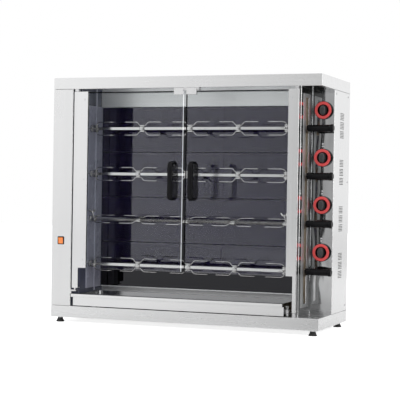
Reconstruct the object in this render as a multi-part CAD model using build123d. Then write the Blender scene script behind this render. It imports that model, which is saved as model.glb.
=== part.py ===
from build123d import *

import os
from math import atan, cos, degrees, pi, radians, sin, tan

# A chicken rotisserie: four driven spits in a steel cabinet behind two glass doors.
# The model is drawn in cabinet coordinates, in millimetres: x runs right from the left
# side, y runs back from the front face, z runs up from the floor.  Each solid is moved by
# SHIFT when it is saved, so the origin is the middle of the whole footprint.

# Cabinet
WIDTH = 1150.0
DEPTH = 430.0
HEIGHT = 1011.0
FOOT_HEIGHT = 22.0
FOOT_RADIUS = 17.0
FOOT_RIM = 4.0  # height of the pad's upright rim, under its cone
FOOT_TOP_RADIUS = 11.0
FOOT_NUT = (10.0, 5.0)  # radius at the corners, height
FOOT_INSET = 30.0
STUD_RADIUS = 5.0
STUD_TOP = 39.5
BAND = 47.0  # height of the cap and of the base
SHEET = 1.5
THIN_SHEET = 1.2
BEND = 2.5  # outside radius of an upright fold
EDGE = 1.4  # outside radius of the cap's and base's level folds
REVEAL = 1.2  # shadow gap between the outer sheets and the cap or base
BASE_RETURN = 50.0
CAP_RETURN = 15.0
FLANGE = 14.0
CEILING_LAP = 10.0
CEILING_GAP = 0.3

# Left column, which holds the drive
COLUMN_WIDTH = 89.6
COLUMN_RETURN = 34.0
COLUMN_FLANGE = 74.0
CAVITY_LEFT = 112.0
REFLECTOR_FACE = 119.0
REFLECTOR_FRONT = 92.0
REFLECTOR_BACK = 226.5
REFLECTOR_LOW = 139.0
COVER_STRIP = (161.0, 9.0, 4.0)  # place in depth, width, thickness
COVER_STRIP_LOW = 127.0

# Right recess, open to the front and to the right
WALL_RIGHT = 1058.0
WALL_FLANGE = 1041.0
RECESS_BACK = 190.0
SLOT_Y = (93.5, 136.5)
SLOT_Z = (115.0, 927.0)
FRAME_SIDE = 28.0
FRAME_END = 14.0
FRAME_THICK = 1.5
FRAME_CORNER = 4.0

# Back of the cooking space
GLASS_BACK = 228.0
CERAMIC = 4.0
PANE_X = (121.0, 1005.0)
PANE_LOW = 143.0
PANE_PITCH = 190.0
PANE_GAP = 1.5
PANE_COUNT = 4
PANE_EDGE = 0.8
TRIM_HEIGHT = 4.5
TRIM_PROUD = 2.0
HEATER_X = (148.0, 977.0)
HEATER_HALF = 80.0
HEATER_DEEP = 24.0
HEATER_WALL = 6.0
TUBE_RADIUS = 5.0
TUBE_HALF_PITCH = 38.0
TUBE_X = (188.0, 985.0)
TUBE_BEND = 30.0

# Spits
SPIT_COUNT = 4
SPIT_Y = 117.0
SPIT_LOW = 241.0
SPIT_PITCH = 188.5
SPIT_TURNS = (0.0, -55.0, 0.0, 0.0)  # angle of each spit at rest, lowest first
SQUARE = 11.0
SQUARE_X = (115.5, 1040.0)
POINT_LONG = 4.0
JOURNAL_RADIUS = 10.0
JOURNAL_END = 1059.0
GRIP_RADIUS = 14.0
GRIP_CONE = 7.0
GRIP_END = 1167.0
GRIP_RIM = 15.5
GRIP_RIM_LONG = 12.0
TANG_RADIUS = 5.0
TANG_END = 1147.0
END_FORKS = (138.0, 978.0)
DOUBLE_FORKS = (
    (341.0, 566.0, 767.0),
    (343.0, 553.0, 756.0),
    (337.0, 553.0, 775.0),
    (352.0, 566.0, 773.0),
)
PRONG_REACH = 84.0
PRONG_SPREAD = 27.0
PRONG_RADIUS = 2.3
PRONG_POINT = 6.0
PRONG_SIDES = 8
PRONG_TAPER = 17.0
DOUBLE_LEVEL = 12.0  # height at which a double fork's prongs leave the hub
DOUBLE_SLANT = (11.0, 24.0)  # where they slant, from the hub's middle
END_ROOT = (4.0, 8.0)  # where an end fork's prongs start inside the hub
END_BEND = 17.0
HUB_LONG = 20.0
SLEEVE = (18.0, 19.0)  # depth and height of the hub round the bar
LUG = (14.0, 7.0)  # depth and height of the lugs that hold the prongs
LUG_HIGH = 12.0
SCREW_REACH = 55.0
SCREW_RADIUS = 2.6
SCREW_BOSS = (4.5, 13.0)  # radius and length
WING_SPREAD = 14.0
WING_TALL = 22.0
WING_THICK = 3.0

# Drive
SHAFT_RADIUS = 8.0
SHAFT_X = (39.0, 113.5)
SOCKET_RADIUS = 13.0
SOCKET_X = (113.2, 127.2)
SOCKET_EDGE = 1.5
SPROCKET_X = (45.0, 50.0)
SPROCKET_TIP = 28.0
SPROCKET_ROOT = 23.5
SPROCKET_TEETH = 14
WHEEL_HUB = (13.0, 8.0)  # radius and length
CHAIN_THICK = 6.0
CHAIN_CLEAR = 0.5
MOTOR_Z = 150.0
MOTOR_SHAFT_END = 90.0
MOTOR_RADIUS = 27.0
MOTOR_COLLAR = 20.0
MOTOR_LONG = 78.0
GEARBOX_X = (62.0, 104.0)
GEARBOX_Y = (82.0, 152.0)
GEARBOX_HALF = 36.0
BRACKET_THICK = 3.0
BRACKET_RISE = 12.0
BRACKET_FOOT = 8.0
BEARING_HALF = 26.0
BEARING_THICK = 6.0
BEARING_BOSS = (17.0, 18.0)  # radius, and reach from the panel
SUPPORT = (66.0, 56.0, 4.0)  # width, height and thickness of a spit's support
SUPPORT_RISE = 8.0
RUNNING = 0.05  # radial clearance of a shaft in its bore

# Doors
DOOR_TOP = 953.0
GLASS_Z = (228.5, 950.5)
DOOR_GLASS = 6.0
LEFT_STILE_X = (94.2, 157.2)
LEFT_STEP_X = 122.0
LEFT_STILE_LOW = 145.0
LEFT_STILE_DEEP = 20.0
LEFT_PIN = (105.0, 10.0)
LEFT_PIN_DROP = 13.0
LEFT_GLASS_X = (124.0, 578.0)
RIGHT_STILE_X = (1016.0, 1058.4)
RIGHT_STEP_X = 1043.0
RIGHT_STILE_LOW = 87.0
RIGHT_STILE_DEEP = 28.0
RIGHT_PIN = (1049.0, 10.0)
RIGHT_PIN_DROP = 7.0
RIGHT_GLASS_X = (590.0, 1041.0)
PIN_RADIUS = 4.0
PIN_PLATE = (3.0, 2.5)  # thickness of a stile's lower and upper end plates
PIVOT_GAP = 1.5
PIVOT_HALF = 8.0
PIVOT_Y = (2.0, 18.0)
LOWER_PIVOT_HALF = 6.0
LOWER_PIVOT_Y = (4.0, 16.0)
PIVOT_SHELF = (131.0, 137.0)
PIVOT_ARM = (3.0, 20.0)  # thickness and drop of the left shelf's fixing
LEFT_SCREW_X = 140.0
RIGHT_SCREW_X = 1028.0
STILE_SCREW_Z = (262.5, 592.0, 921.0)
CLAMP_THICK = 2.0
STRIKER_Z = (936.0, 961.5)
LEFT_STRIKER_X = (537.0, 577.5)
RIGHT_STRIKER_X = (590.5, 634.0)
HANDLE_X = (540.0, 627.0)
HANDLE_Z = 591.0
HANDLE_OUT = 43.0
HANDLE_WIDE = 21.0
HANDLE_THICK = 16.0
HANDLE_BEND = 18.0
HANDLE_ROUND = 6.0
HANDLE_SCREW_RADIUS = 3.0
HANDLE_SCREW_HALF = 70.5
HANDLE_SCREW_DEEP = 14.0
HANDLE_NUT = (7.5, 3.0)  # radius and thickness
CATCH_X = (546.0, 644.0)
CATCH_BACK = 22.0

# Drip tray
TRAY_X = (116.0, 1003.0)
TRAY_Y = (1.5, 218.0)
TRAY_Z = (76.0, 120.5)
TRAY_SLOPE = 7.0  # how far each wall leans out over its height
TRAY_CORNER = 14.0
APRON_X = (102.0, 1010.0)
APRON_LOW = 72.5
LIP_LOW = 108.5
LIP_OUT = 20.0
LIP_BACK = 8.0
TAP = (1016.0, 28.0, 89.0)
TAP_RADIUS = 9.0
TAP_HALF = 11.0
TAP_NOZZLE = 5.0
TAP_FLANGE = (11.0, 0.5, 3.0)  # radius, and where it starts and ends past the pan
TAP_SPOUT = (6.0, 4.0)  # outside and inside radius
TAP_BOSS_TOP = 15.0
LEVER_HUB = (6.5, 7.0)  # radius and height
LEVER_ARM = (9.0, 24.0, 4.0)  # width, length and thickness
RUNNER_WIDE = 20.0
RUNNER_INSET = (60.0, 80.0)

# Controls
KNOB_X = 1106.0
KNOB_RISE = 74.5
KNOB_RADIUS = 36.0
KNOB_Y = (174.5, 189.0)
KNOB_EDGE = 1.2
KNOB_HOLLOW = 22.5
KNOB_DISH = (19.7, 6.0)  # radius of the hollow's floor, and its depth
KNOB_RING = 1.5
KNOB_GRIP = (20.0, 42.0)
KNOB_GRIP_ROUND = 9.0
KNOB_GRIP_EDGE = 2.0
KNOB_GRIP_Y = 161.0
KNOB_BORE_Y = 169.0
SPINDLE_RADIUS = 3.0
SPINDLE_END = 222.0
BUSH_RADIUS = 4.5
REGULATOR_RADIUS = 21.0
REGULATOR_END = 230.0
SWITCH_X = 42.3
SWITCH_Z = 339.0
SWITCH_SIZE = (28.5, 33.0)
ROCKER_SIZE = (20.6, 25.8)
ROCKER_TILT = 8.0
ROCKER_PIVOT_Y = 1.0
ROCKER_FACE_Y = -3.0
ROCKER_PIN_RADIUS = 1.5
SWITCH_DEEP = 22.0
SWITCH_FLANGE = 2.0

# Ventilation slots and small screws
VENT_WIDE = 60.0
VENT_SLOTS = 5
VENT_STEP = 6.2
VENT_TALL = 2.4
VENT_PITCH = 36.5
VENT_Y = 307.0
VENT_RISE = 19.0
SIDE_SCREWS = ((401.5, 948.0), (409.0, 598.0), (403.0, 92.0), (215.0, 949.0))
PANEL_SCREW_DROP = 138.5
PANEL_SCREW_HALF = 5.0
PANEL_SCREW_SHIFT = 3.0
REAR_SCREWS = 4
REAR_SCREW_INSET = 30.0
REAR_VENT_INSET = 300.0
HEAD_RADIUS = 4.0
HEAD_TALL = 2.0
SHANK_RADIUS = 2.0
SHANK_LONG = 7.0
SHANK_SIDES = 8
GLAND_X = 150.0
GLAND_Z = 130.0
GLAND_OUT = 14.0
GLAND_RADIUS = 8.4
GLAND_NUT = (13.0, 6.0)  # radius at the corners, height
GLAND_CAP = 11.0
GLAND_BORE = 4.0

# Worked out from the above
BASE_TOP = FOOT_HEIGHT + BAND
CAP_BOTTOM = HEIGHT - BAND
PANE_HIGH = PANE_LOW + PANE_PITCH * PANE_COUNT
PANE_BACK = GLASS_BACK + CERAMIC
BACK_SHEET = PANE_BACK + HEATER_DEEP
BACK_OF_SHEET = BACK_SHEET + THIN_SHEET
CAVITY_INNER = CAVITY_LEFT - SHEET
WALL_INNER = WALL_RIGHT - SHEET
GLASS_DOOR_BACK = SHEET + DOOR_GLASS
SPIT_Z = [SPIT_LOW + SPIT_PITCH * i for i in range(SPIT_COUNT)]
SHIFT = (-(GRIP_END - HEAD_TALL) / 2, (HANDLE_OUT - DEPTH - GLAND_OUT) / 2, 0.0)


def block(x, y, z):
    """Rectangular solid between two x, two y and two z values."""
    corner = Pos(x[0], y[0], z[0])
    return corner * Box(x[1] - x[0], y[1] - y[0], z[1] - z[0], align=(Align.MIN,) * 3)


def rod(start, end, radius):
    """Round bar from one point to another."""
    axis = Vector(*end) - Vector(*start)
    return extrude(Plane(origin=start, z_dir=axis) * Circle(radius), axis.length)


def rod_x(x, y, z, radius):
    """Round bar along x, between two x values."""
    return rod((x[0], y, z), (x[1], y, z), radius)


def rod_y(x, y, z, radius):
    """Round bar along y, between two y values."""
    return rod((x, y[0], z), (x, y[1], z), radius)


def rod_z(x, y, z, radius):
    """Round bar along z, between two z values."""
    return rod((x, y, z[0]), (x, y, z[1]), radius)


def octagon_bar(start, end, radius):
    """Eight-sided bar from one point to another, for small parts that repeat."""
    axis = Vector(*end) - Vector(*start)
    return extrude(Plane(origin=start, z_dir=axis) * RegularPolygon(radius, SHANK_SIDES), axis.length)


def folded(plane, points, length, thickness):
    """Folded sheet: an open line of points, thickened on its left and extruded."""
    line = FilletPolyline(*points, radius=BEND)
    outline = line.offset_2d(thickness, side=Side.LEFT, kind=Kind.ARC, closed=True)
    return extrude(plane * make_face(outline), length)


def upright_sheet(points, z, thickness=SHEET):
    """Sheet folded along upright lines; its points are x and y."""
    return folded(Plane.XY.offset(z[0]), points, z[1] - z[0], thickness)


def level_sheet(points, x, thickness=SHEET):
    """Sheet folded along level lines; its points are y and z."""
    return folded(Plane.YZ.offset(x[0]), points, x[1] - x[0], thickness)


def turned(shape, i):
    """A shape at its spit's angle at rest."""
    axis = Axis((0, SPIT_Y, SPIT_Z[i]), (1, 0, 0))
    return shape.rotate(axis, SPIT_TURNS[i])


def save(name, *shapes):
    """Write one node: its solids stay separate and move to the shared origin."""
    solids = [solid for shape in shapes for solid in (Pos(*SHIFT) * shape).solids()]
    node = solids[0] if len(solids) == 1 else Compound(children=solids)
    export_step(node, f"parts/{name}.step")


# Cabinet


def skirted_pan(z, rim):
    """Top sheet with four skirts, and a flange turned in along their lower edge."""
    outer = block((0, WIDTH), (0, DEPTH), z)
    outer = fillet(outer.edges().filter_by(Axis.Z), BEND)
    level = outer.edges().group_by(Axis.Z)
    outer = fillet(level[0] + level[-1], EDGE)
    inside = (z[0] + SHEET, z[1] - SHEET)
    inner = block((SHEET, WIDTH - SHEET), (SHEET, DEPTH - SHEET), inside)
    mouth = block((rim, WIDTH - rim), (rim, DEPTH - rim), (z[0] - SHEET, z[0] + 2 * SHEET))
    return outer - inner - mouth


def foot_places():
    """Middles of the four feet on the floor."""
    grid = GridLocations(WIDTH - 2 * FOOT_INSET, DEPTH - 2 * FOOT_INSET, 2, 2)
    return [Pos(WIDTH / 2, DEPTH / 2, 0) * spot for spot in grid]


def base_tray():
    """Folded base, with a hole for each foot's stud in the flange under it."""
    pan = skirted_pan((FOOT_HEIGHT, BASE_TOP), BASE_RETURN)
    flange = (FOOT_HEIGHT - SHEET, FOOT_HEIGHT + 2 * SHEET)
    return pan - [spot * rod_z(0, 0, flange, STUD_RADIUS) for spot in foot_places()]


def feet():
    """Adjustable feet: a flared rubber pad, a hexagon and a stud through the base's flange."""
    nut_radius, nut_tall = FOOT_NUT
    nut_low = FOOT_HEIGHT - nut_tall
    points = [(0, 0), (FOOT_RADIUS, 0), (FOOT_RADIUS, FOOT_RIM), (FOOT_TOP_RADIUS, nut_low), (0, nut_low)]
    foot = revolve(Plane.XZ * make_face(Polyline(*points, close=True)), Axis.Z)
    foot += Pos(0, 0, nut_low) * extrude(RegularPolygon(nut_radius, 6), nut_tall)
    foot += rod_z(0, 0, (nut_low, STUD_TOP), STUD_RADIUS)
    return [spot * foot for spot in foot_places()]


def top_cap():
    """Folded cap that closes the cabinet above."""
    return skirted_pan((CAP_BOTTOM, HEIGHT), CAP_RETURN)


def ceiling_panel():
    """Joggled sheet that rests on the cap's flange and closes its mouth from below."""
    inset = CAP_RETURN + CEILING_GAP
    x = (inset, WIDTH - inset)
    y = (inset, DEPTH - inset)
    level = CAP_BOTTOM + SHEET
    plate = block(x, y, (CAP_BOTTOM, level))
    rim_x = (x[0] - CEILING_LAP, x[1] + CEILING_LAP)
    rim_y = (y[0] - CEILING_LAP, y[1] + CEILING_LAP)
    rim = block(rim_x, rim_y, (level, level + SHEET))
    middle = block((x[0] + SHEET, x[1] - SHEET), (y[0] + SHEET, y[1] - SHEET), (level, level + 2 * SHEET))
    return plate + (rim - middle)


def vents(plane, places):
    """Cutter for stacks of level slots, one stack at each place on the plane."""
    stack = GridLocations(0, VENT_STEP, 1, VENT_SLOTS)
    slots = [Pos(*place) * spot * Rectangle(VENT_WIDE, VENT_TALL) for place in places for spot in stack]
    return extrude(plane * (Sketch() + slots), 4 * SHEET, both=True)


def reveals(x, y):
    """Cutters for the shadow gaps at the lower and upper edge of an outer sheet."""
    low = (BASE_TOP - SHEET, BASE_TOP + REVEAL)
    high = (CAP_BOTTOM - REVEAL, CAP_BOTTOM + SHEET)
    return [block(x, y, low), block(x, y, high)]


def left_casing():
    """Left side, column front and the front's return, folded from one sheet."""
    points = [
        (FLANGE, DEPTH),
        (0, DEPTH),
        (0, 0),
        (COLUMN_WIDTH, 0),
        (COLUMN_WIDTH, COLUMN_RETURN),
        (COLUMN_FLANGE, COLUMN_RETURN),
    ]
    casing = upright_sheet(points, (BASE_TOP, CAP_BOTTOM))
    casing -= reveals((-SHEET, COLUMN_WIDTH + SHEET), (-SHEET, BEND))
    casing -= reveals((-SHEET, BEND), (0, DEPTH - BEND))
    wide, tall = switch_body()
    x = (SWITCH_X - wide / 2, SWITCH_X + wide / 2)
    z = (SWITCH_Z - tall / 2, SWITCH_Z + tall / 2)
    casing -= block(x, (-SHEET, 2 * SHEET), z)
    motor_vents = [(VENT_Y, MOTOR_Z + VENT_PITCH * k) for k in (0, 1, 2)]
    casing -= vents(Plane.YZ, motor_vents)
    return casing - [shank((0, y, z), (1, 0, 0)) for y, z in SIDE_SCREWS]


def left_cavity_side():
    """Enamelled side of the cooking space, stepped forward to the column's flange."""
    points = [(COLUMN_FLANGE, COLUMN_RETURN), (CAVITY_LEFT, COLUMN_RETURN), (CAVITY_LEFT, BACK_OF_SHEET)]
    side = upright_sheet(points, (BASE_TOP, CAP_BOTTOM))
    around = (CAVITY_INNER - SHEET, CAVITY_LEFT + SHEET)
    return side - [rod_x(around, SPIT_Y, z, SHAFT_RADIUS + 1) for z in SPIT_Z]


def left_reflector_panel():
    """Bright shallow panel in front of the side."""
    points = [
        (CAVITY_LEFT, REFLECTOR_FRONT),
        (REFLECTOR_FACE, REFLECTOR_FRONT),
        (REFLECTOR_FACE, REFLECTOR_BACK),
        (CAVITY_LEFT, REFLECTOR_BACK),
    ]
    panel = upright_sheet(points, (REFLECTOR_LOW, PANE_HIGH))
    around = (CAVITY_LEFT, REFLECTOR_FACE + SHEET)
    return panel - [rod_x(around, SPIT_Y, z, SOCKET_RADIUS + 2) for z in SPIT_Z]


def reflector_cover_strip():
    """Rounded strip over the joint in the bright panel, up to the ceiling."""
    y, wide, thick = COVER_STRIP
    face = Pos(REFLECTOR_FACE + thick / 2, y) * Rectangle(thick, wide)
    face = fillet(face.vertices().group_by(Axis.X)[-1], thick - 0.5)
    return extrude(Plane.XY.offset(COVER_STRIP_LOW) * face, CAP_BOTTOM - COVER_STRIP_LOW)


def slot_cutter():
    """Room for the long upright slot that the spits pass through."""
    return block((WALL_INNER - SHEET, WALL_RIGHT + 2 * FRAME_THICK), SLOT_Y, SLOT_Z)


def right_inner_wall():
    """Polished wall between the cooking space and the recess."""
    points = [(WALL_FLANGE, COLUMN_RETURN), (WALL_RIGHT, COLUMN_RETURN), (WALL_RIGHT, BACK_OF_SHEET)]
    return upright_sheet(points, (BASE_TOP, CAP_BOTTOM)) - slot_cutter()


def slot_frame():
    """Brushed frame that stiffens the wall round the slot."""
    wide = SLOT_Y[1] - SLOT_Y[0] + 2 * FRAME_SIDE
    tall = SLOT_Z[1] - SLOT_Z[0] + 2 * FRAME_END
    plate = Pos(sum(SLOT_Y) / 2, sum(SLOT_Z) / 2) * RectangleRounded(wide, tall, FRAME_CORNER)
    return extrude(Plane.YZ.offset(WALL_RIGHT) * plate, FRAME_THICK) - slot_cutter()


def knob_heights():
    """Heights of the knobs' axes, one above each spit."""
    return [z + KNOB_RISE for z in SPIT_Z]


def panel_screw_places():
    """Pairs of small screws between the knobs."""
    level = [z - PANEL_SCREW_DROP for z in knob_heights()[1:]]
    return [(KNOB_X - PANEL_SCREW_SHIFT, z + side * PANEL_SCREW_HALF) for z in level for side in (-1, 1)]


def knob_panel():
    """Polished panel that carries the heat regulators at the back of the recess."""
    points = [(WALL_RIGHT, RECESS_BACK + 24), (WALL_RIGHT, RECESS_BACK), (WIDTH - SHEET, RECESS_BACK)]
    panel = upright_sheet(points, (BASE_TOP, CAP_BOTTOM))
    through = (RECESS_BACK - SHEET, RECESS_BACK + 2 * SHEET)
    panel -= [rod_y(KNOB_X, through, z, BUSH_RADIUS) for z in knob_heights()]
    return panel - [shank((x, RECESS_BACK, z), (0, 1, 0)) for x, z in panel_screw_places()]


def right_side_panel():
    """Vented right side behind the recess, folded in at both upright edges."""
    front = RECESS_BACK + SHEET
    points = [(WIDTH - 20, front), (WIDTH, front), (WIDTH, DEPTH), (WIDTH - FLANGE, DEPTH)]
    panel = upright_sheet(points, (BASE_TOP, CAP_BOTTOM))
    panel -= reveals((WIDTH - BEND, WIDTH + SHEET), (0, DEPTH - BEND))
    places = [(VENT_Y, z + VENT_RISE + VENT_PITCH * k) for z in SPIT_Z for k in (-1, 0, 1)]
    panel -= vents(Plane.YZ.offset(WIDTH), places)
    return panel - [shank((WIDTH, y, z), (-1, 0, 0)) for y, z in SIDE_SCREWS]


def rear_screw_places():
    """Screws along the rear panel's two upright edges."""
    edges = (FLANGE / 2, WIDTH - FLANGE / 2)
    low = BASE_TOP + REAR_SCREW_INSET
    step = (CAP_BOTTOM - REAR_SCREW_INSET - low) / (REAR_SCREWS - 1)
    return [(x, low + step * k) for x in edges for k in range(REAR_SCREWS)]


def rear_panel():
    """Flat back sheet inside the sides' flanges, with vents and a hole for the cable."""
    outer = DEPTH - SHEET
    panel = block((BEND, WIDTH - BEND), (outer - SHEET, outer), (BASE_TOP, CAP_BOTTOM))
    columns = (REAR_VENT_INSET, WIDTH / 2, WIDTH - REAR_VENT_INSET)
    places = [(x, SPIT_Z[i] + VENT_RISE) for x in columns for i in (0, SPIT_COUNT - 1)]
    panel -= vents(Plane.XZ.offset(-outer), places)
    return panel - rod_y(GLAND_X, (outer - 2 * SHEET, outer + SHEET), GLAND_Z, GLAND_RADIUS)


def rear_screw_cutters():
    """Holes for the rear screws, through the panel and the flanges behind it."""
    return [shank((x, DEPTH, z), (0, -1, 0)) for x, z in rear_screw_places()]


# Back of the cooking space


def pane_lows():
    """Height of the lower edge of each pane."""
    return [PANE_LOW + PANE_PITCH * i for i in range(PANE_COUNT)]


def ceramic_panels():
    """Black ceramic glass in front of the heaters, one pane for each."""
    panes = []
    for low in pane_lows():
        pane = block(PANE_X, (GLASS_BACK, PANE_BACK), (low, low + PANE_PITCH - PANE_GAP))
        front = pane.edges().filter_by(Axis.X).group_by(Axis.Y)[0]
        panes.append(chamfer(front, PANE_EDGE))
    return panes


def back_frame():
    """Welded frame behind the heaters: a sheet, bright strips above and beside the
    panes, and the small angle that the panes stand on."""
    sheet = block((CAVITY_LEFT, WALL_INNER), (BACK_SHEET, BACK_OF_SHEET), (BASE_TOP, CAP_BOTTOM))
    front = [(GLASS_BACK, CAP_BOTTOM), (GLASS_BACK, PANE_HIGH)]
    top = level_sheet(
        [(BACK_SHEET, CAP_BOTTOM), *front, (BACK_SHEET, PANE_HIGH)],
        (CAVITY_LEFT, WALL_INNER),
    )
    lip = GLASS_BACK - TRIM_PROUD
    trim = level_sheet(
        [(BACK_SHEET, PANE_LOW), (lip, PANE_LOW), (lip, PANE_LOW - TRIM_HEIGHT)],
        (REFLECTOR_FACE + TRIM_PROUD, WALL_INNER),
        THIN_SHEET,
    )
    edge = PANE_X[1] + PANE_GAP
    border = upright_sheet(
        [(edge, BACK_SHEET), (edge, GLASS_BACK), (WALL_INNER, GLASS_BACK)],
        (PANE_LOW, PANE_HIGH),
        THIN_SHEET,
    )
    return sheet + top + trim + border


def heating_elements():
    """Four heaters: an open insulating dish behind its pane, with a hairpin tube.

    The tubes are hidden and repeat, so they have eight sides."""
    parts = []
    y = (PANE_BACK + BACK_SHEET) / 2
    bend, start = TUBE_X
    inner_x = (HEATER_X[0] + HEATER_WALL, HEATER_X[1] - HEATER_WALL)
    inner_y = (PANE_BACK - 1, BACK_SHEET - HEATER_WALL / 2)
    inner_half = HEATER_HALF - HEATER_WALL
    for low in pane_lows():
        middle = low + (PANE_PITCH - PANE_GAP) / 2
        dish = block(HEATER_X, (PANE_BACK, BACK_SHEET), (middle - HEATER_HALF, middle + HEATER_HALF))
        dish -= block(inner_x, inner_y, (middle - inner_half, middle + inner_half))
        high = middle + TUBE_HALF_PITCH
        deep = middle - TUBE_HALF_PITCH
        points = [(start, y, high), (bend, y, high), (bend, y, deep), (start, y, deep)]
        path = FilletPolyline(*points, radius=TUBE_BEND)
        section = RegularPolygon(TUBE_RADIUS, SHANK_SIDES)
        tube = sweep(Plane(origin=path @ 0, x_dir=(0, 1, 0), z_dir=path % 0) * section, path)
        for z in (high, deep):
            hole = Plane(origin=(inner_x[1] - 1, y, z), x_dir=(0, 1, 0), z_dir=(1, 0, 0)) * section
            dish -= extrude(hole, HEATER_WALL + 2)
        parts.extend([dish, tube])
    return parts


# Drive


def sprocket_outline():
    """Face of a chain wheel: each tooth is a root, a straight flank, a tip and a flank."""
    pitch = 2 * pi / SPROCKET_TEETH
    shares = ((0.0, SPROCKET_ROOT), (0.35, SPROCKET_ROOT), (0.55, SPROCKET_TIP), (0.8, SPROCKET_TIP))
    points = []
    for i in range(SPROCKET_TEETH):
        for share, radius in shares:
            angle = pitch * (i + share)
            points.append((radius * cos(angle), radius * sin(angle)))
    return make_face(Polyline(*points, close=True))


def chain_wheel(z):
    """Sprocket and its hub on the drive line at one height."""
    radius, long = WHEEL_HUB
    face = Plane.YZ.offset(SPROCKET_X[0]) * Pos(SPIT_Y, z) * sprocket_outline()
    wheel = extrude(face, SPROCKET_X[1] - SPROCKET_X[0])
    return wheel + rod_x((SPROCKET_X[1], SPROCKET_X[1] + long), SPIT_Y, z, radius)


def drive_shaft(i):
    """Chain wheel, shaft and the socket that takes a spit's square end."""
    z = SPIT_Z[i]
    shaft = chain_wheel(z) + rod_x(SHAFT_X, SPIT_Y, z, SHAFT_RADIUS)
    socket = rod_x(SOCKET_X, SPIT_Y, z, SOCKET_RADIUS)
    socket = chamfer(socket.edges().group_by(Axis.X)[-1], SOCKET_EDGE)
    side = SQUARE + 2 * RUNNING
    mouth = Plane.YZ.offset(SQUARE_X[0] - 1) * Pos(SPIT_Y, z) * Rectangle(side, side)
    return turned(shaft + socket - extrude(mouth, SOCKET_X[1]), i)


def motor_sprocket():
    """Chain wheel on the gear motor's own shaft."""
    return chain_wheel(MOTOR_Z) + rod_x((SHAFT_X[0], MOTOR_SHAFT_END), SPIT_Y, MOTOR_Z, SHAFT_RADIUS)


def gear_motor():
    """Gearbox with its motor lying towards the back, and the bracket that holds it."""
    z = MOTOR_Z
    x = sum(GEARBOX_X) / 2
    box = block(GEARBOX_X, GEARBOX_Y, (z - GEARBOX_HALF, z + GEARBOX_HALF))
    box = chamfer(box.edges().filter_by(Axis.X), BRACKET_FOOT)
    box += rod_x((GEARBOX_X[0] - 3, GEARBOX_X[0]), SPIT_Y, z, 2 * SHAFT_RADIUS)
    box -= rod_x((GEARBOX_X[0] - 5, MOTOR_SHAFT_END + 2), SPIT_Y, z, SHAFT_RADIUS + RUNNING)
    can_end = GEARBOX_Y[1] + MOTOR_LONG
    box += rod_y(x, (GEARBOX_Y[1], can_end), z, MOTOR_COLLAR)
    box += rod_y(x, (GEARBOX_Y[1] + 6, can_end - 6), z, MOTOR_RADIUS)
    plate_x = (GEARBOX_X[1], GEARBOX_X[1] + BRACKET_THICK)
    high = z + GEARBOX_HALF + BRACKET_RISE
    low = z - GEARBOX_HALF - BRACKET_RISE
    bracket = block(plate_x, GEARBOX_Y, (low, high))
    for end in ((low, low + BRACKET_FOOT), (high - BRACKET_FOOT, high)):
        bracket += block((plate_x[1], CAVITY_INNER), GEARBOX_Y, end)
    return [box, bracket]


def drive_chain():
    """Chain loop from the motor's wheel to the highest one, past those between."""
    inner = SPROCKET_TIP + CHAIN_CLEAR
    long = SPIT_Z[-1] - MOTOR_Z
    loop = SlotCenterToCenter(long, 2 * (inner + CHAIN_THICK), rotation=90)
    loop -= SlotCenterToCenter(long, 2 * inner, rotation=90)
    place = Pos(SPIT_Y, MOTOR_Z + long / 2)
    return extrude(Plane.YZ.offset(SPROCKET_X[0] - 1) * place * loop, SPROCKET_X[1] - SPROCKET_X[0] + 2)


def drive_bearings():
    """Square flange bearings on the hidden face of the cooking space's side."""
    flange_x = (CAVITY_INNER - BEARING_THICK, CAVITY_INNER)
    radius, reach = BEARING_BOSS
    y = (SPIT_Y - BEARING_HALF, SPIT_Y + BEARING_HALF)
    parts = []
    for z in SPIT_Z:
        flange = block(flange_x, y, (z - BEARING_HALF, z + BEARING_HALF))
        flange = chamfer(flange.edges().filter_by(Axis.X), BEARING_THICK)
        flange += rod_x((CAVITY_INNER - reach, flange_x[0]), SPIT_Y, z, radius)
        parts.append(flange - rod_x((SHAFT_X[0], WALL_RIGHT), SPIT_Y, z, SHAFT_RADIUS + RUNNING))
    return parts


def spit_supports():
    """Open bronze forks behind the slot, in which the spits' journals turn."""
    wide, tall, thick = SUPPORT
    seat = JOURNAL_RADIUS + RUNNING
    plate = Pos(0, SUPPORT_RISE) * RectangleRounded(wide, tall, thick)
    plate -= Circle(seat)
    plate -= Pos(0, tall / 2) * Rectangle(2 * seat, tall)
    mouth = plate.vertices().filter_by(lambda v: v.Y > tall / 2 and abs(v.X) < seat + 1)
    plate = chamfer(mouth, thick)
    start = Plane.YZ.offset(WALL_INNER - thick)
    return [extrude(start * Pos(SPIT_Y, z) * plate, thick) for z in SPIT_Z]


# Spits


def spit_rod(i):
    """Square bar with a pointed drive end, a round journal and a tang for the grip."""
    z = SPIT_Z[i]
    half = SQUARE / 2
    full = (SQUARE_X[0] + POINT_LONG, SQUARE_X[1])
    bar = block(full, (SPIT_Y - half, SPIT_Y + half), (z - half, z + half))
    back = Plane(origin=(full[0], SPIT_Y, z), x_dir=(0, 1, 0), z_dir=(-1, 0, 0))
    bar += extrude(back * Rectangle(SQUARE, SQUARE), POINT_LONG, taper=25)
    bar += rod_x((SQUARE_X[1], JOURNAL_END), SPIT_Y, z, JOURNAL_RADIUS)
    bar += rod_x((JOURNAL_END, TANG_END), SPIT_Y, z, TANG_RADIUS)
    return turned(bar, i)


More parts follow.
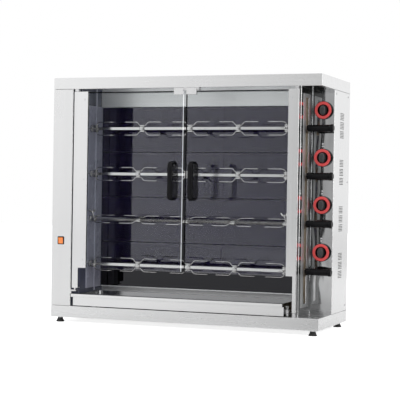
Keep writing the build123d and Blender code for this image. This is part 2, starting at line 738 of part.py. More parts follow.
def spit_handle(i):
    """Heat-proof grip: a short cone, a long barrel and a wider end, on the tang."""
    profile = Polyline(
        (JOURNAL_END, TANG_RADIUS),
        (JOURNAL_END, JOURNAL_RADIUS),
        (JOURNAL_END + GRIP_CONE, GRIP_RADIUS),
        (GRIP_END - GRIP_RIM_LONG, GRIP_RADIUS),
        (GRIP_END - GRIP_RIM_LONG + 2, GRIP_RIM),
        (GRIP_END - 3, GRIP_RIM),
        (GRIP_END, GRIP_RIM - 4),
        (GRIP_END, 0),
        (TANG_END, 0),
        (TANG_END, TANG_RADIUS),
        close=True,
    )
    grip = revolve(Plane.XZ * make_face(profile), Axis.X)
    return turned(Pos(0, SPIT_Y, SPIT_Z[i]) * grip, i)


def pointed_bar(start, path):
    """Prong's bar along a path, finished with a point."""
    section = RegularPolygon(PRONG_RADIUS, PRONG_SIDES)
    bar = sweep(start * section, path, transition=Transition.RIGHT)
    tip = Plane(origin=path @ 1, x_dir=(0, 1, 0), z_dir=path % 1) * section
    return bar + extrude(tip, PRONG_POINT, taper=PRONG_TAPER)


def double_prong(side, way):
    """Prong of a double fork: level out of the hub, a slant away from the bar, then straight."""
    start = way * (HUB_LONG / 2 - 3)
    near, far = (way * place for place in DOUBLE_SLANT)
    path = Polyline(
        (start, 0, side * DOUBLE_LEVEL),
        (near, 0, side * DOUBLE_LEVEL),
        (far, 0, side * PRONG_SPREAD),
        (way * (PRONG_REACH - PRONG_POINT), 0, side * PRONG_SPREAD),
    )
    return pointed_bar(Plane(origin=path @ 0, x_dir=(0, 1, 0), z_dir=(way, 0, 0)), path)


def end_prong(side, way):
    """Prong of an end fork: up out of the hub, and round in one wide bend."""
    x, z = END_ROOT
    path = FilletPolyline(
        (way * x, 0, side * z),
        (way * x, 0, side * PRONG_SPREAD),
        (way * (PRONG_REACH - PRONG_POINT), 0, side * PRONG_SPREAD),
        radius=END_BEND,
    )
    return pointed_bar(Plane(origin=path @ 0, x_dir=(0, 1, 0), z_dir=(0, 0, side)), path)


def fork_hub():
    """Sleeve that slides along the square bar, with a lug above and below it."""
    bore = SQUARE + 2 * RUNNING
    face = Rectangle(*SLEEVE) + [Pos(0, side * LUG_HIGH) * Rectangle(*LUG) for side in (-1, 1)]
    face -= Rectangle(bore, bore)
    return extrude(Plane.YZ * face, HUB_LONG / 2, both=True)


def end_fork(way):
    """Fork at an end of the spit, with both prongs on one side and a threaded hole."""
    made = fork_hub() + [end_prong(side, way) for side in (-1, 1)]
    return made - rod_y(0, (-SLEEVE[0], 0), 0, SCREW_RADIUS)


def double_fork():
    """Fork between two birds, with two prongs on each side."""
    return fork_hub() + [double_prong(side, way) for side in (-1, 1) for way in (-1, 1)]


def wing_screw():
    """Clamping screw with two wings spread like a V, pressed on the bar's front face."""
    radius, long = SCREW_BOSS
    foot = WING_TALL - SCREW_REACH
    right = [
        (radius, foot + 1),
        (WING_SPREAD, foot - WING_TALL / 2),
        (WING_SPREAD - 1, -SCREW_REACH),
        (WING_SPREAD - 5, -SCREW_REACH),
        (radius + 1, foot - long),
    ]
    left = [(-x, y) for x, y in reversed(right)]
    wings = extrude(make_face(Polyline(*right, *left, close=True)), WING_THICK / 2, both=True)
    boss = rod_y(0, (foot - long, foot + 2), 0, radius)
    return wings + boss + rod_y(0, (foot, -SQUARE / 2), 0, SCREW_RADIUS)


def spit_forks(i):
    """Two end forks with their wing screws, and the double forks between the birds."""
    parts = []
    for x, way in zip(END_FORKS, (1, -1)):
        parts.append(Pos(x, 0, 0) * end_fork(way))
        parts.append(Pos(x, 0, 0) * wing_screw())
    parts.extend(Pos(x, 0, 0) * double_fork() for x in DOUBLE_FORKS[i])
    return [turned(Pos(0, SPIT_Y, SPIT_Z[i]) * part, i) for part in parts]


# Doors


def pivot_ends(pin, x, z, drop):
    """Plates across both ends of a stile, each with its pivot pin."""
    across = (SHEET / 2, LEFT_STILE_DEEP - 1)
    low_plate, high_plate = PIN_PLATE
    rise = CAP_BOTTOM - z[1] - PIVOT_GAP
    low = block(x, across, (z[0], z[0] + low_plate)) + rod_z(*pin, (z[0] - drop, z[0]), PIN_RADIUS)
    high = block(x, across, (z[1] - high_plate, z[1])) + rod_z(*pin, (z[1], z[1] + rise), PIN_RADIUS)
    return low + high


def left_door_stile():
    """Folded upright that grips the glass, notched at its foot, with its pivot pins."""
    x0, x1 = LEFT_STILE_X
    z = (LEFT_STILE_LOW, DOOR_TOP)
    stile = upright_sheet([(x0, LEFT_STILE_DEEP), (x0, 0), (x1, 0)], z)
    stile -= block((LEFT_STEP_X, x1 + SHEET), (-SHEET, 2 * SHEET), (z[0] - SHEET, GLASS_Z[0]))
    stile -= clamp_shanks(LEFT_SCREW_X)
    return stile + pivot_ends(LEFT_PIN, (x0 + SHEET / 2, LEFT_STEP_X), z, LEFT_PIN_DROP)


def right_door_stile():
    """Narrower upright of the right door, made in the same way."""
    x0, x1 = RIGHT_STILE_X
    z = (RIGHT_STILE_LOW, DOOR_TOP)
    stile = upright_sheet([(x0, 0), (x1, 0), (x1, RIGHT_STILE_DEEP)], z)
    stile -= block((x0 - SHEET, RIGHT_STEP_X), (-SHEET, 2 * SHEET), (z[0] - SHEET, GLASS_Z[0]))
    stile -= clamp_shanks(RIGHT_SCREW_X)
    return stile + pivot_ends(RIGHT_PIN, (RIGHT_STEP_X, x1 - SHEET / 2), z, RIGHT_PIN_DROP)


def clamp_shanks(x):
    """Shanks of the screws that clamp a stile to its glass."""
    y = (-HEAD_TALL / 2, GLASS_DOOR_BACK + CLAMP_THICK + 1)
    return [octagon_bar((x, y[0], z), (x, y[1], z), SHANK_RADIUS) for z in STILE_SCREW_Z]


def handle_shanks(x):
    """Shanks of the screws that hold a handle through its glass."""
    y = (-HANDLE_SCREW_DEEP, GLASS_DOOR_BACK + 1)
    return [rod_y(x, y, HANDLE_Z + side * HANDLE_SCREW_HALF, HANDLE_SCREW_RADIUS) for side in (-1, 1)]


def door_glass(x, screw_x, handle_x):
    """Toughened pane with ground edges and the holes for its screws."""
    pane = block(x, (SHEET, GLASS_DOOR_BACK), GLASS_Z)
    pane = chamfer(pane.edges().filter_by(Axis.Z), PANE_EDGE)
    return pane - clamp_shanks(screw_x) - handle_shanks(handle_x)


def door_handle(x):
    """Moulded bow handle of rounded section, bent twice and butted on the glass."""
    out = HANDLE_THICK / 2 - HANDLE_OUT
    ends = (-HANDLE_SCREW_HALF, HANDLE_SCREW_HALF)
    points = [(SHEET, ends[0]), (out, ends[0]), (out, ends[1]), (SHEET, ends[1])]
    path = Plane.YZ * FilletPolyline(*points, radius=HANDLE_BEND)
    start = Plane(origin=path @ 0, x_dir=(1, 0, 0), z_dir=path % 0)
    bow = sweep(start * RectangleRounded(HANDLE_WIDE, HANDLE_THICK, HANDLE_ROUND), path)
    return Pos(x, 0, HANDLE_Z) * bow - handle_shanks(x)


def door_fittings(clamp_x, striker_x, screw_x, handle_x):
    """Clamp strip, striker plate folded over the glass, and the door's screws."""
    back = GLASS_DOOR_BACK
    strip = block(clamp_x, (back, back + CLAMP_THICK), (GLASS_Z[0] + 2, GLASS_Z[1] - 4))
    strip -= clamp_shanks(screw_x)
    low, high = STRIKER_Z
    striker = block(striker_x, (0, SHEET), (low, high))
    striker = chamfer(striker.edges().filter_by(Axis.Y), SHEET)
    striker += block(striker_x, (SHEET / 2, back + SHEET), (GLASS_Z[1], GLASS_Z[1] + SHEET))
    striker += block(striker_x, (back, back + SHEET), (low, GLASS_Z[1] + SHEET / 2))
    bolts = [shaft + head_y(screw_x, z) for shaft, z in zip(clamp_shanks(screw_x), STILE_SCREW_Z)]
    nut_radius, nut_thick = HANDLE_NUT
    nut_y = (back, back + nut_thick)
    nuts = [shaft + rod_y(handle_x, nut_y, shaft.center().Z, nut_radius) for shaft in handle_shanks(handle_x)]
    return [strip, striker, *bolts, *nuts]


def head_y(x, z):
    """Low screw head on a door's front face."""
    return octagon_bar((x, 0, z), (x, -HEAD_TALL, z), HEAD_RADIUS)


def door_pivots():
    """The four fixed bearings in which the doors' pins turn."""
    bore = PIN_RADIUS + RUNNING
    high = (DOOR_TOP + PIVOT_GAP, CAP_BOTTOM)
    parts = []
    for x, y in (LEFT_PIN, RIGHT_PIN):
        upper = block((x - PIVOT_HALF, x + PIVOT_HALF), PIVOT_Y, high)
        parts.append(upper - rod_z(x, y, (DOOR_TOP, CAP_BOTTOM - 1), bore))
    x, y = LEFT_PIN
    low, level = PIVOT_SHELF
    arm_thick, arm_drop = PIVOT_ARM
    bracket = block((COLUMN_WIDTH, x + PIVOT_HALF), PIVOT_Y, PIVOT_SHELF)
    bracket += block((COLUMN_WIDTH, COLUMN_WIDTH + arm_thick), PIVOT_Y, (low - arm_drop, level))
    parts.append(bracket - rod_z(x, y, (low - 1, level + 1), bore))
    x, y = RIGHT_PIN
    lower_x = (x - LOWER_PIVOT_HALF, x + LOWER_PIVOT_HALF)
    lower = block(lower_x, LOWER_PIVOT_Y, (BASE_TOP, RIGHT_STILE_LOW - 1))
    parts.append(lower - rod_z(x, y, (RIGHT_STILE_LOW - RIGHT_PIN_DROP - 1, RIGHT_STILE_LOW), bore))
    return parts


def door_catch():
    """Magnetic catch under the cap, behind the two striker plates."""
    housing = block(CATCH_X, (SHEET + 0.5, CATCH_BACK), (GLASS_Z[1] + 3.5, CAP_BOTTOM))
    return chamfer(housing.edges().filter_by(Axis.Y).group_by(Axis.Z)[0], SHEET)


# Drip tray


def drip_tray():
    """Shallow pan whose walls lean outwards, with a hole for its drain."""
    high = TRAY_Z[1] - TRAY_Z[0]
    lean = degrees(atan(TRAY_SLOPE / high))
    wide = TRAY_X[1] - TRAY_X[0] - 2 * TRAY_SLOPE
    deep = TRAY_Y[1] - TRAY_Y[0] - 2 * TRAY_SLOPE
    wall = 2 * THIN_SHEET
    floor = Plane.XY.offset(TRAY_Z[0]) * Pos(sum(TRAY_X) / 2, sum(TRAY_Y) / 2)
    outer = extrude(floor * RectangleRounded(wide, deep, TRAY_CORNER), high, taper=-lean)
    inner = RectangleRounded(wide - wall, deep - wall, TRAY_CORNER - THIN_SHEET)
    hollow = extrude(floor * Pos(0, 0, THIN_SHEET) * inner, high, taper=-lean)
    return outer - hollow - tap_nozzle()


def tray_front():
    """Apron of the drip tray, with its top edge folded forward into a pull."""
    top = TRAY_Z[1] + SHEET
    points = [(LIP_BACK, top), (-LIP_OUT, top), (-LIP_OUT, LIP_LOW), (0, LIP_LOW), (0, APRON_LOW)]
    return level_sheet(points, APRON_X)


def tap_nozzle():
    """Nozzle that joins the tap to the pan."""
    x, y, z = TAP
    return rod_x((TRAY_X[1] - 2 * TRAY_SLOPE, x), y, z, TAP_NOZZLE)


def drain_tap():
    """Plug tap on the pan's right wall: body, outlet, nozzle and the lever's boss."""
    x, y, z = TAP
    flange_radius, flange_near, flange_far = TAP_FLANGE
    outside, inside = TAP_SPOUT
    body = rod_y(x, (y - TAP_HALF, y + TAP_HALF), z, TAP_RADIUS)
    body = chamfer(body.edges().group_by(Axis.Y)[0], 2)
    body += tap_nozzle()
    body += rod_x((TRAY_X[1] + flange_near, TRAY_X[1] + flange_far), y, z, flange_radius)
    body += rod_z(x, y, (BASE_TOP + 3, z + TAP_BOSS_TOP), outside)
    body -= rod_z(x, y, (BASE_TOP, z - TAP_RADIUS / 2), inside)
    return body - rod_z(x, y, (z + outside, z + TAP_BOSS_TOP + 1), SPINDLE_RADIUS + RUNNING)


def tap_lever():
    """Lever of the tap, closed when it points to the front."""
    x, y, z = TAP
    level = z + TAP_BOSS_TOP + 0.5
    hub_radius, hub_tall = LEVER_HUB
    wide, long, thick = LEVER_ARM
    lever = rod_z(x, y, (level, level + hub_tall), hub_radius)
    arm = Pos(x, y - long / 2) * RectangleRounded(wide, long, wide / 2 - 0.5)
    lever += extrude(Plane.XY.offset(level + 2.5) * arm, thick)
    return lever + rod_z(x, y, (level - 8.5, level), SPINDLE_RADIUS)


def tray_runners():
    """Two low rails on the base that the pan slides on."""
    rail = (BASE_TOP, TRAY_Z[0] - 0.3)
    places = (TRAY_X[0] + RUNNER_INSET[0], TRAY_X[1] - RUNNER_INSET[1])
    return [block((x, x + RUNNER_WIDE), (24, TRAY_Y[1]), rail) for x in places]


# Controls


def knob(z):
    """Knob: a dished skirt with a raised grip bar, bored for its spindle."""
    front, back = KNOB_Y
    face = front + KNOB_RING
    floor_radius, depth = KNOB_DISH
    floor = face + depth
    half = Polyline(
        (0, floor),
        (floor_radius, floor),
        (KNOB_HOLLOW, face),
        (KNOB_RADIUS - KNOB_EDGE, face),
        (KNOB_RADIUS, face + KNOB_EDGE),
        (KNOB_RADIUS, back),
        (0, back),
        close=True,
    )
    skirt = revolve(make_face(half), Axis.Y)
    foot = Plane(origin=(0, floor, 0), x_dir=(1, 0, 0), z_dir=(0, -1, 0))
    bar = extrude(foot * RectangleRounded(*KNOB_GRIP, KNOB_GRIP_ROUND), floor - KNOB_GRIP_Y)
    bar = chamfer(bar.edges().group_by(Axis.Y)[0], KNOB_GRIP_EDGE)
    bore = rod_y(0, (KNOB_BORE_Y, back + 1), 0, SPINDLE_RADIUS)
    return Pos(KNOB_X, 0, z) * (skirt + bar - bore)


def knob_ring(z):
    """Flat coloured ring on the knob's face."""
    front = KNOB_Y[0]
    ring = rod_y(KNOB_X, (front, front + KNOB_RING), z, KNOB_RADIUS - KNOB_EDGE)
    return ring - rod_y(KNOB_X, (front - 1, front + 2 * KNOB_RING), z, KNOB_HOLLOW + 0.5)


def spindle(z):
    """Knob's spindle, into its regulator."""
    return rod_y(KNOB_X, (KNOB_BORE_Y, SPINDLE_END), z, SPINDLE_RADIUS)


def regulators():
    """Heat regulators: a round body behind the panel and a bush through it."""
    parts = []
    for z in knob_heights():
        body = rod_y(KNOB_X, (RECESS_BACK + SHEET, REGULATOR_END), z, REGULATOR_RADIUS)
        body += rod_y(KNOB_X, (RECESS_BACK, RECESS_BACK + SHEET), z, BUSH_RADIUS)
        parts.append(body - rod_y(KNOB_X, (RECESS_BACK - 1, SPINDLE_END + 2), z, SPINDLE_RADIUS + RUNNING))
    return parts


def switch_body():
    """Width and height of the switch behind its flange."""
    return SWITCH_SIZE[0] - 3, SWITCH_SIZE[1] - 3


def switch_bezel():
    """Snap-in switch housing with the pocket that its rocker tilts in."""
    wide, tall = switch_body()
    flange = extrude(Plane.XZ * RectangleRounded(*SWITCH_SIZE, 3), SWITCH_FLANGE)
    housing = Pos(0, SWITCH_DEEP / 2, 0) * Box(wide, SWITCH_DEEP, tall)
    pocket = Pos(0, 4, 0) * Box(ROCKER_SIZE[0] + 0.8, 16, ROCKER_SIZE[1] + 0.8)
    pins = rod_x((-wide / 2, wide / 2), ROCKER_PIVOT_Y, 0, ROCKER_PIN_RADIUS)
    return Pos(SWITCH_X, 0, SWITCH_Z) * (flange + housing - pocket + pins)


def switch_rocker():
    """Rocker with arc-shaped ends about its pivot and a shallow valley in its face."""
    radius = ROCKER_SIZE[1] / 2
    proud = ROCKER_FACE_Y - tan(radians(ROCKER_TILT)) * radius
    back = ROCKER_PIVOT_Y + 6
    outline = [(back, -radius), (proud, -radius), (ROCKER_FACE_Y, 0), (proud, radius), (back, radius)]
    side = make_face(Polyline(*outline, close=True))
    side = side & (Pos(ROCKER_PIVOT_Y, 0) * Circle(radius))
    side -= Pos(ROCKER_PIVOT_Y, 0) * Circle(ROCKER_PIN_RADIUS + RUNNING)
    rocker = extrude(Plane.YZ * side, ROCKER_SIZE[0] / 2, both=True)
    rocker = rocker.rotate(Axis((0, ROCKER_PIVOT_Y, 0), (1, 0, 0)), ROCKER_TILT)
    return Pos(SWITCH_X, 0, SWITCH_Z) * rocker


# Small parts


def shank(point, direction):
    """Shank of a cabinet screw, from just outside a panel to behind it."""
    start = Vector(*point) - Vector(*direction) * (HEAD_TALL / 2)
    end = Vector(*point) + Vector(*direction) * SHANK_LONG
    return octagon_bar(tuple(start), tuple(end), SHANK_RADIUS)


def screw(point, direction):
    """Cabinet screw that enters a panel at a point."""
    outside = Vector(*point) - Vector(*direction) * HEAD_TALL
    return octagon_bar(point, tuple(outside), HEAD_RADIUS) + shank(point, direction)


def cabinet_screws():
    """Screws of both sides, the knob panel and the rear panel."""
    parts = []
    for y, z in SIDE_SCREWS:
        parts.append(screw((0, y, z), (1, 0, 0)))
        parts.append(screw((WIDTH, y, z), (-1, 0, 0)))
    parts.extend(screw((x, RECESS_BACK, z), (0, 1, 0)) for x, z in panel_screw_places())
    parts.extend(screw((x, DEPTH, z), (0, -1, 0)) for x, z in rear_screw_places())
    return parts


def cable_gland():
    """Cable entry through the rear panel: hexagon, cap and inner nut."""
    face = DEPTH - SHEET
    out = DEPTH + GLAND_OUT
    plane = Plane(origin=(GLAND_X, face, GLAND_Z), x_dir=(1, 0, 0), z_dir=(0, 1, 0))
    gland = extrude(plane * RegularPolygon(GLAND_NUT[0], 6), GLAND_NUT[1])
    cap = rod_y(GLAND_X, (face, out), GLAND_Z, GLAND_CAP)
    gland += chamfer(cap.edges().group_by(Axis.Y)[-1], 2)
    gland += rod_y(GLAND_X, (face - 10, face), GLAND_Z, GLAND_RADIUS)
    inner = Plane(origin=(GLAND_X, face - SHEET, GLAND_Z), x_dir=(1, 0, 0), z_dir=(0, -1, 0))
    gland += extrude(inner * RegularPolygon(GLAND_NUT[0], 6), GLAND_NUT[1] - 1)
    return gland - rod_y(GLAND_X, (face - 12, out + 1), GLAND_Z, GLAND_BORE)


def main():
    """Write every node."""
    os.makedirs("parts", exist_ok=True)
    rear_cutters = rear_screw_cutters()
    save("base_tray", base_tray())
    save("feet", *feet())
    save("top_cap", top_cap())
    save("ceiling_panel", ceiling_panel())
    save("left_casing", left_casing() - rear_cutters)
    save("left_cavity_side", left_cavity_side())
    save("left_reflector_panel", left_reflector_panel(), reflector_cover_strip())
    save("right_inner_wall", right_inner_wall())
    save("slot_frame", slot_frame())
    save("knob_panel", knob_panel())
    save("right_side_panel", right_side_panel() - rear_cutters)
    save("rear_panel", rear_panel() - rear_cutters)
    save("ceramic_panels", *ceramic_panels())
    save("back_frame", back_frame())
    save("heating_elements", *heating_elements())
    save("gear_motor", *gear_motor())
    save("drive_chain", drive_chain())
    save("drive_bearings", *drive_bearings())
    save("spit_supports", *spit_supports())
    save("door_pivots", *door_pivots())
    save("door_catch", door_catch())
    save("cabinet_screws", *cabinet_screws())
    save("switch_bezel", switch_bezel())
    save("switch_rocker", switch_rocker())
    save("regulators", *regulators())
    save("tray_runners", *tray_runners())
    save("cable_gland", cable_gland())
    save("motor_sprocket", motor_sprocket())
    for i in range(SPIT_COUNT):
        save(f"drive_shaft_{i + 1}", drive_shaft(i))
        save(f"spit_rod_{i + 1}", spit_rod(i))
        save(f"spit_forks_{i + 1}", *spit_forks(i))
        save(f"spit_handle_{i + 1}", spit_handle(i))
        z = knob_heights()[i]
        save(f"knob_{i + 1}", knob(z), knob_ring(z), spindle(z))
    left_clamp = (LEFT_GLASS_X[0], LEFT_STILE_X[1])
    save("left_door_stile", left_door_stile())
    save("left_door_glass", door_glass(LEFT_GLASS_X, LEFT_SCREW_X, HANDLE_X[0]))
    save("left_door_handle", door_handle(HANDLE_X[0]))
    save("left_door_fittings", *door_fittings(left_clamp, LEFT_STRIKER_X, LEFT_SCREW_X, HANDLE_X[0]))
    right_clamp = (RIGHT_STILE_X[0], RIGHT_GLASS_X[1])
    save("right_door_stile", right_door_stile())
    save("right_door_glass", door_glass(RIGHT_GLASS_X, RIGHT_SCREW_X, HANDLE_X[1]))
    save("right_door_handle", door_handle(HANDLE_X[1]))
    save("right_door_fittings", *door_fittings(right_clamp, RIGHT_STRIKER_X, RIGHT_SCREW_X, HANDLE_X[1]))
    save("drip_tray", drip_tray())
    save("tray_front", tray_front())
    save("drain_tap", drain_tap())
    save("tap_lever", tap_lever())


main()
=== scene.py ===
"""Looks of a four-spit chicken rotisserie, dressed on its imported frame.

Lengths are metres in the frame's own axes: +X to the right along the front, +Y to the back
and +Z up. Places are read from the frame's nodes; the sizes of what is added are the fields
of the class that makes it.
"""

from __future__ import annotations

import logging
import math
from dataclasses import dataclass
from enum import Enum
from functools import lru_cache

import bmesh
import bpy
import numpy as np
from mathutils import Matrix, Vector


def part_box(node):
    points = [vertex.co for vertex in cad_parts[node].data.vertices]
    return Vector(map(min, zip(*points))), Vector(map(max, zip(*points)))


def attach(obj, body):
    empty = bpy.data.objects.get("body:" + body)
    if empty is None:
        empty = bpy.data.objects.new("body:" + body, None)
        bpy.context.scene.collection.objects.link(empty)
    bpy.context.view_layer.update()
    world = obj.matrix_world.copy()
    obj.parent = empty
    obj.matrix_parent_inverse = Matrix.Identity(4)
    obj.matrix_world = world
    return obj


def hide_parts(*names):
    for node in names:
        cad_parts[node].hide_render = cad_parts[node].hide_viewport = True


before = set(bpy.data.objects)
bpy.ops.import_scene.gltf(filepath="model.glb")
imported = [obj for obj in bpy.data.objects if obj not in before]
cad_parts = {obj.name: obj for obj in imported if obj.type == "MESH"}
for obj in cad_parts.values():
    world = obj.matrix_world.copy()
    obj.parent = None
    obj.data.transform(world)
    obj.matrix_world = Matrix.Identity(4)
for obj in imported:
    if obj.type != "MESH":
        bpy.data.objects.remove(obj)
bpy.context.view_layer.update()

LOG = logging.getLogger("rotisserie")
MM = 0.001
Array = np.ndarray
Colour = tuple[float, float, float]


class Slot(str, Enum):
    """Material slots of the record."""

    POLISHED_STEEL = "polished_steel"
    BRUSHED_STEEL = "brushed_steel"
    MIRROR_STEEL = "mirror_steel"
    CHROMED_STEEL = "chromed_steel"
    SCREW_STEEL = "screw_steel"
    CHAIN_STEEL = "chain_steel"
    CASTING = "grey_casting"
    BRONZE = "bronze"
    ENAMEL = "black_enamel"
    CERAMIC = "black_ceramic"
    GLASS = "clear_glass"
    BLACK_PLASTIC = "black_plastic"
    RED_PLASTIC = "red_plastic"
    ORANGE_PLASTIC = "orange_plastic"
    RUBBER = "black_rubber"
    INSULATION = "insulation"


class Grain(Enum):
    """Direction in which a steel sheet was ground, as the pattern's frequency along x, y, z."""

    ALONG_X = (6.0, 420.0, 420.0)
    ALONG_Z = (420.0, 420.0, 6.0)
    NONE = (90.0, 90.0, 90.0)


class Side(str, Enum):
    """Side of the machine, as its nodes are named."""

    LEFT = "left"
    RIGHT = "right"


# Shader trees


class Tree:
    """Adds nodes to one shader tree and joins them."""

    def __init__(self, tree: bpy.types.NodeTree) -> None:
        """Wraps a node tree."""
        self.tree = tree

    def feed(self, socket: bpy.types.NodeSocket, value: object) -> None:
        """Joins a socket to another one, or sets its value."""
        if isinstance(value, bpy.types.NodeSocket):
            self.tree.links.new(value, socket)
        else:
            socket.default_value = value

    def add(self, kind: str, inputs: dict | None = None, **settings: object) -> bpy.types.Node:
        """Adds a node.

        Args:
            kind: Blender's name of the node type.
            inputs: values or sockets by input name or number.
            settings: the node's own properties.

        Returns:
            The new node.
        """
        node = self.tree.nodes.new(kind)
        for name, value in settings.items():
            setattr(node, name, value)
        for name, value in (inputs or {}).items():
            self.feed(node.inputs[name], value)
        return node

    def sum(self, operation: str, first: object, second: object = 0.0) -> bpy.types.NodeSocket:
        """Result of a Math node."""
        return self.add("ShaderNodeMath", {0: first, 1: second}, operation=operation).outputs[0]

    def vector(self, operation: str, first: object, second: object) -> bpy.types.Node:
        """A Vector Math node of two vectors."""
        return self.add("ShaderNodeVectorMath", {0: first, 1: second}, operation=operation)

    def remap(self, value: object, source: tuple[float, float], target: tuple) -> bpy.types.NodeSocket:
        """Clamped linear map of a value from one range to another."""
        ends = {"Value": value, "From Min": source[0], "From Max": source[1]}
        ends |= {"To Min": target[0], "To Max": target[1]}
        return self.add("ShaderNodeMapRange", ends).outputs["Result"]

    def noise(self, place: object, scale: float, detail: float = 2.0) -> bpy.types.NodeSocket:
        """Noise from 0 to 1 at a place."""
        inputs = {"Vector": place, "Scale": scale, "Detail": detail}
        return self.add("ShaderNodeTexNoise", inputs).outputs[0]

    def mix(self, share: object, first: object, second: object) -> bpy.types.NodeSocket:
        """Colour between two colours."""
        node = self.add("ShaderNodeMix", data_type="RGBA")
        self.feed(node.inputs[0], share)
        self.feed(node.inputs[6], first)
        self.feed(node.inputs[7], second)
        return node.outputs[2]

    def place(self) -> bpy.types.NodeSocket:
        """Object coordinates."""
        return self.add("ShaderNodeTexCoord").outputs["Object"]

    def group(self, tree: bpy.types.NodeTree, inputs: dict) -> bpy.types.Node:
        """Places a shared group with its own values."""
        node = self.tree.nodes.new("ShaderNodeGroup")
        node.node_tree = tree
        for name, value in inputs.items():
            self.feed(node.inputs[name], value)
        return node


def rgba(colour: Colour, share: float = 1.0) -> tuple[float, float, float, float]:
    """Colour with its opacity, scaled in brightness."""
    return (colour[0] * share, colour[1] * share, colour[2] * share, 1.0)


def new_group(name: str, given: dict[str, str], put: dict[str, str]) -> tuple[Tree, dict, bpy.types.Node]:
    """Starts a shared shader node group.

    Args:
        name: the group's name.
        given: kind of each input socket, by its name.
        put: kind of each output socket, by its name.

    Returns:
        The group's tree, its inputs as sockets by name, and its output node.
    """
    group = bpy.data.node_groups.new(name, "ShaderNodeTree")
    for socket, kind in given.items():
        group.interface.new_socket(name=socket, in_out="INPUT", socket_type=f"NodeSocket{kind}")
    for socket, kind in put.items():
        group.interface.new_socket(name=socket, in_out="OUTPUT", socket_type=f"NodeSocket{kind}")
    tree = Tree(group)
    start = tree.add("NodeGroupInput")
    end = tree.add("NodeGroupOutput")
    return tree, {name: start.outputs[name] for name in given}, end


@lru_cache(maxsize=None)
def worn_edges() -> bpy.types.NodeTree:
    """Group: a mask of the piece's outer edges, broken up by noise, and a rounded normal.

    The mask is one less the dot product of the true normal and a normal averaged over Radius.
    """
    tree, given, end = new_group(
        "worn_edges",
        {"Place": "Vector", "Radius": "Float"},
        {"Mask": "Float", "Normal": "Vector"},
    )
    soft = tree.add("ShaderNodeBevel", {"Radius": given["Radius"]}, samples=4).outputs[0]
    true = tree.add("ShaderNodeNewGeometry").outputs["Normal"]
    bend = tree.sum("SUBTRACT", 1.0, tree.vector("DOT_PRODUCT", soft, true).outputs["Value"])
    broken = tree.remap(tree.noise(given["Place"], 70.0), (0.3, 0.7), (0.35, 1.0))
    mask = tree.sum("MULTIPLY", tree.remap(bend, (0.03, 0.3), (0.0, 1.0)), broken)
    tree.feed(end.inputs["Mask"], mask)
    tree.feed(end.inputs["Normal"], soft)
    return tree.tree


@lru_cache(maxsize=None)
def ground_grain() -> bpy.types.NodeTree:
    """Group: fine scratches drawn out along one direction.

    Height is noise whose place is multiplied by Stretch, so that it is short across the grain
    and long along it. Streak is the same at a sixth of the frequency.
    """
    tree, given, end = new_group(
        "ground_grain",
        {"Place": "Vector", "Stretch": "Vector"},
        {"Height": "Float", "Streak": "Float"},
    )
    drawn = tree.vector("MULTIPLY", given["Place"], given["Stretch"]).outputs[0]
    tree.feed(end.inputs["Height"], tree.noise(drawn, 1.0, 3.0))
    tree.feed(end.inputs["Streak"], tree.remap(tree.noise(drawn, 0.16, 2.0), (0.25, 0.75), (0.0, 1.0)))
    return tree.tree


@lru_cache(maxsize=None)
def handling_marks() -> bpy.types.NodeTree:
    """Group: patches where a surface was wiped or touched, from 0 to 1.

    Two noises of different size are multiplied, so that large clean areas stay between marks.
    """
    tree, given, end = new_group("handling_marks", {"Place": "Vector", "Scale": "Float"}, {"Mask": "Float"})
    wide = tree.remap(tree.noise(given["Place"], given["Scale"], 2.0), (0.4, 0.75), (0.0, 1.0))
    fine = tree.sum("MULTIPLY", given["Scale"], 6.0)
    small = tree.remap(tree.noise(given["Place"], fine, 3.0), (0.3, 0.8), (0.2, 1.0))
    tree.feed(end.inputs["Mask"], tree.sum("MULTIPLY", wide, small))
    return tree.tree


@lru_cache(maxsize=None)
def moulded_skin() -> bpy.types.NodeTree:
    """Group: the fine pebbled skin of mouldings and castings, and sparse pale flecks."""
    tree, given, end = new_group(
        "moulded_skin",
        {"Place": "Vector", "Scale": "Float"},
        {"Height": "Float", "Fleck": "Float"},
    )
    cells = tree.add("ShaderNodeTexVoronoi", {"Vector": given["Place"], "Scale": given["Scale"]})
    rough = tree.noise(given["Place"], given["Scale"], 2.0)
    tree.feed(end.inputs["Height"], tree.sum("MULTIPLY", cells.outputs["Distance"], rough))
    tree.feed(end.inputs["Fleck"], tree.remap(rough, (0.62, 0.72), (0.0, 1.0)))
    return tree.tree


@lru_cache(maxsize=None)
def heat_tint() -> bpy.types.NodeTree:
    """Group: the temper colours of hot steel, from its own colour through straw to brown.

    Heat runs from 0 to 1 and is moved by noise, so that the bands wander.
    """
    tree, given, end = new_group(
        "heat_tint",
        {"Place": "Vector", "Heat": "Float", "Base": "Color"},
        {"Color": "Color"},
    )
    waver = tree.remap(tree.noise(given["Place"], 9.0, 3.0), (0.2, 0.8), (-0.18, 0.18))
    heat = tree.sum("ADD", given["Heat"], waver)
    straw = tree.mix(tree.remap(heat, (0.15, 0.5), (0.0, 1.0)), given["Base"], rgba((0.36, 0.29, 0.20)))
    brown = tree.mix(tree.remap(heat, (0.45, 0.85), (0.0, 1.0)), straw, rgba((0.16, 0.115, 0.085)))
    tree.feed(end.inputs["Color"], brown)
    return tree.tree


# Finishes

# Ranges of a ray's transmission depth, which grows by one at each face of glass
CROSSED_A_PANE = (1.2, 1.8)
CAME_BACK = (2.2, 2.8)


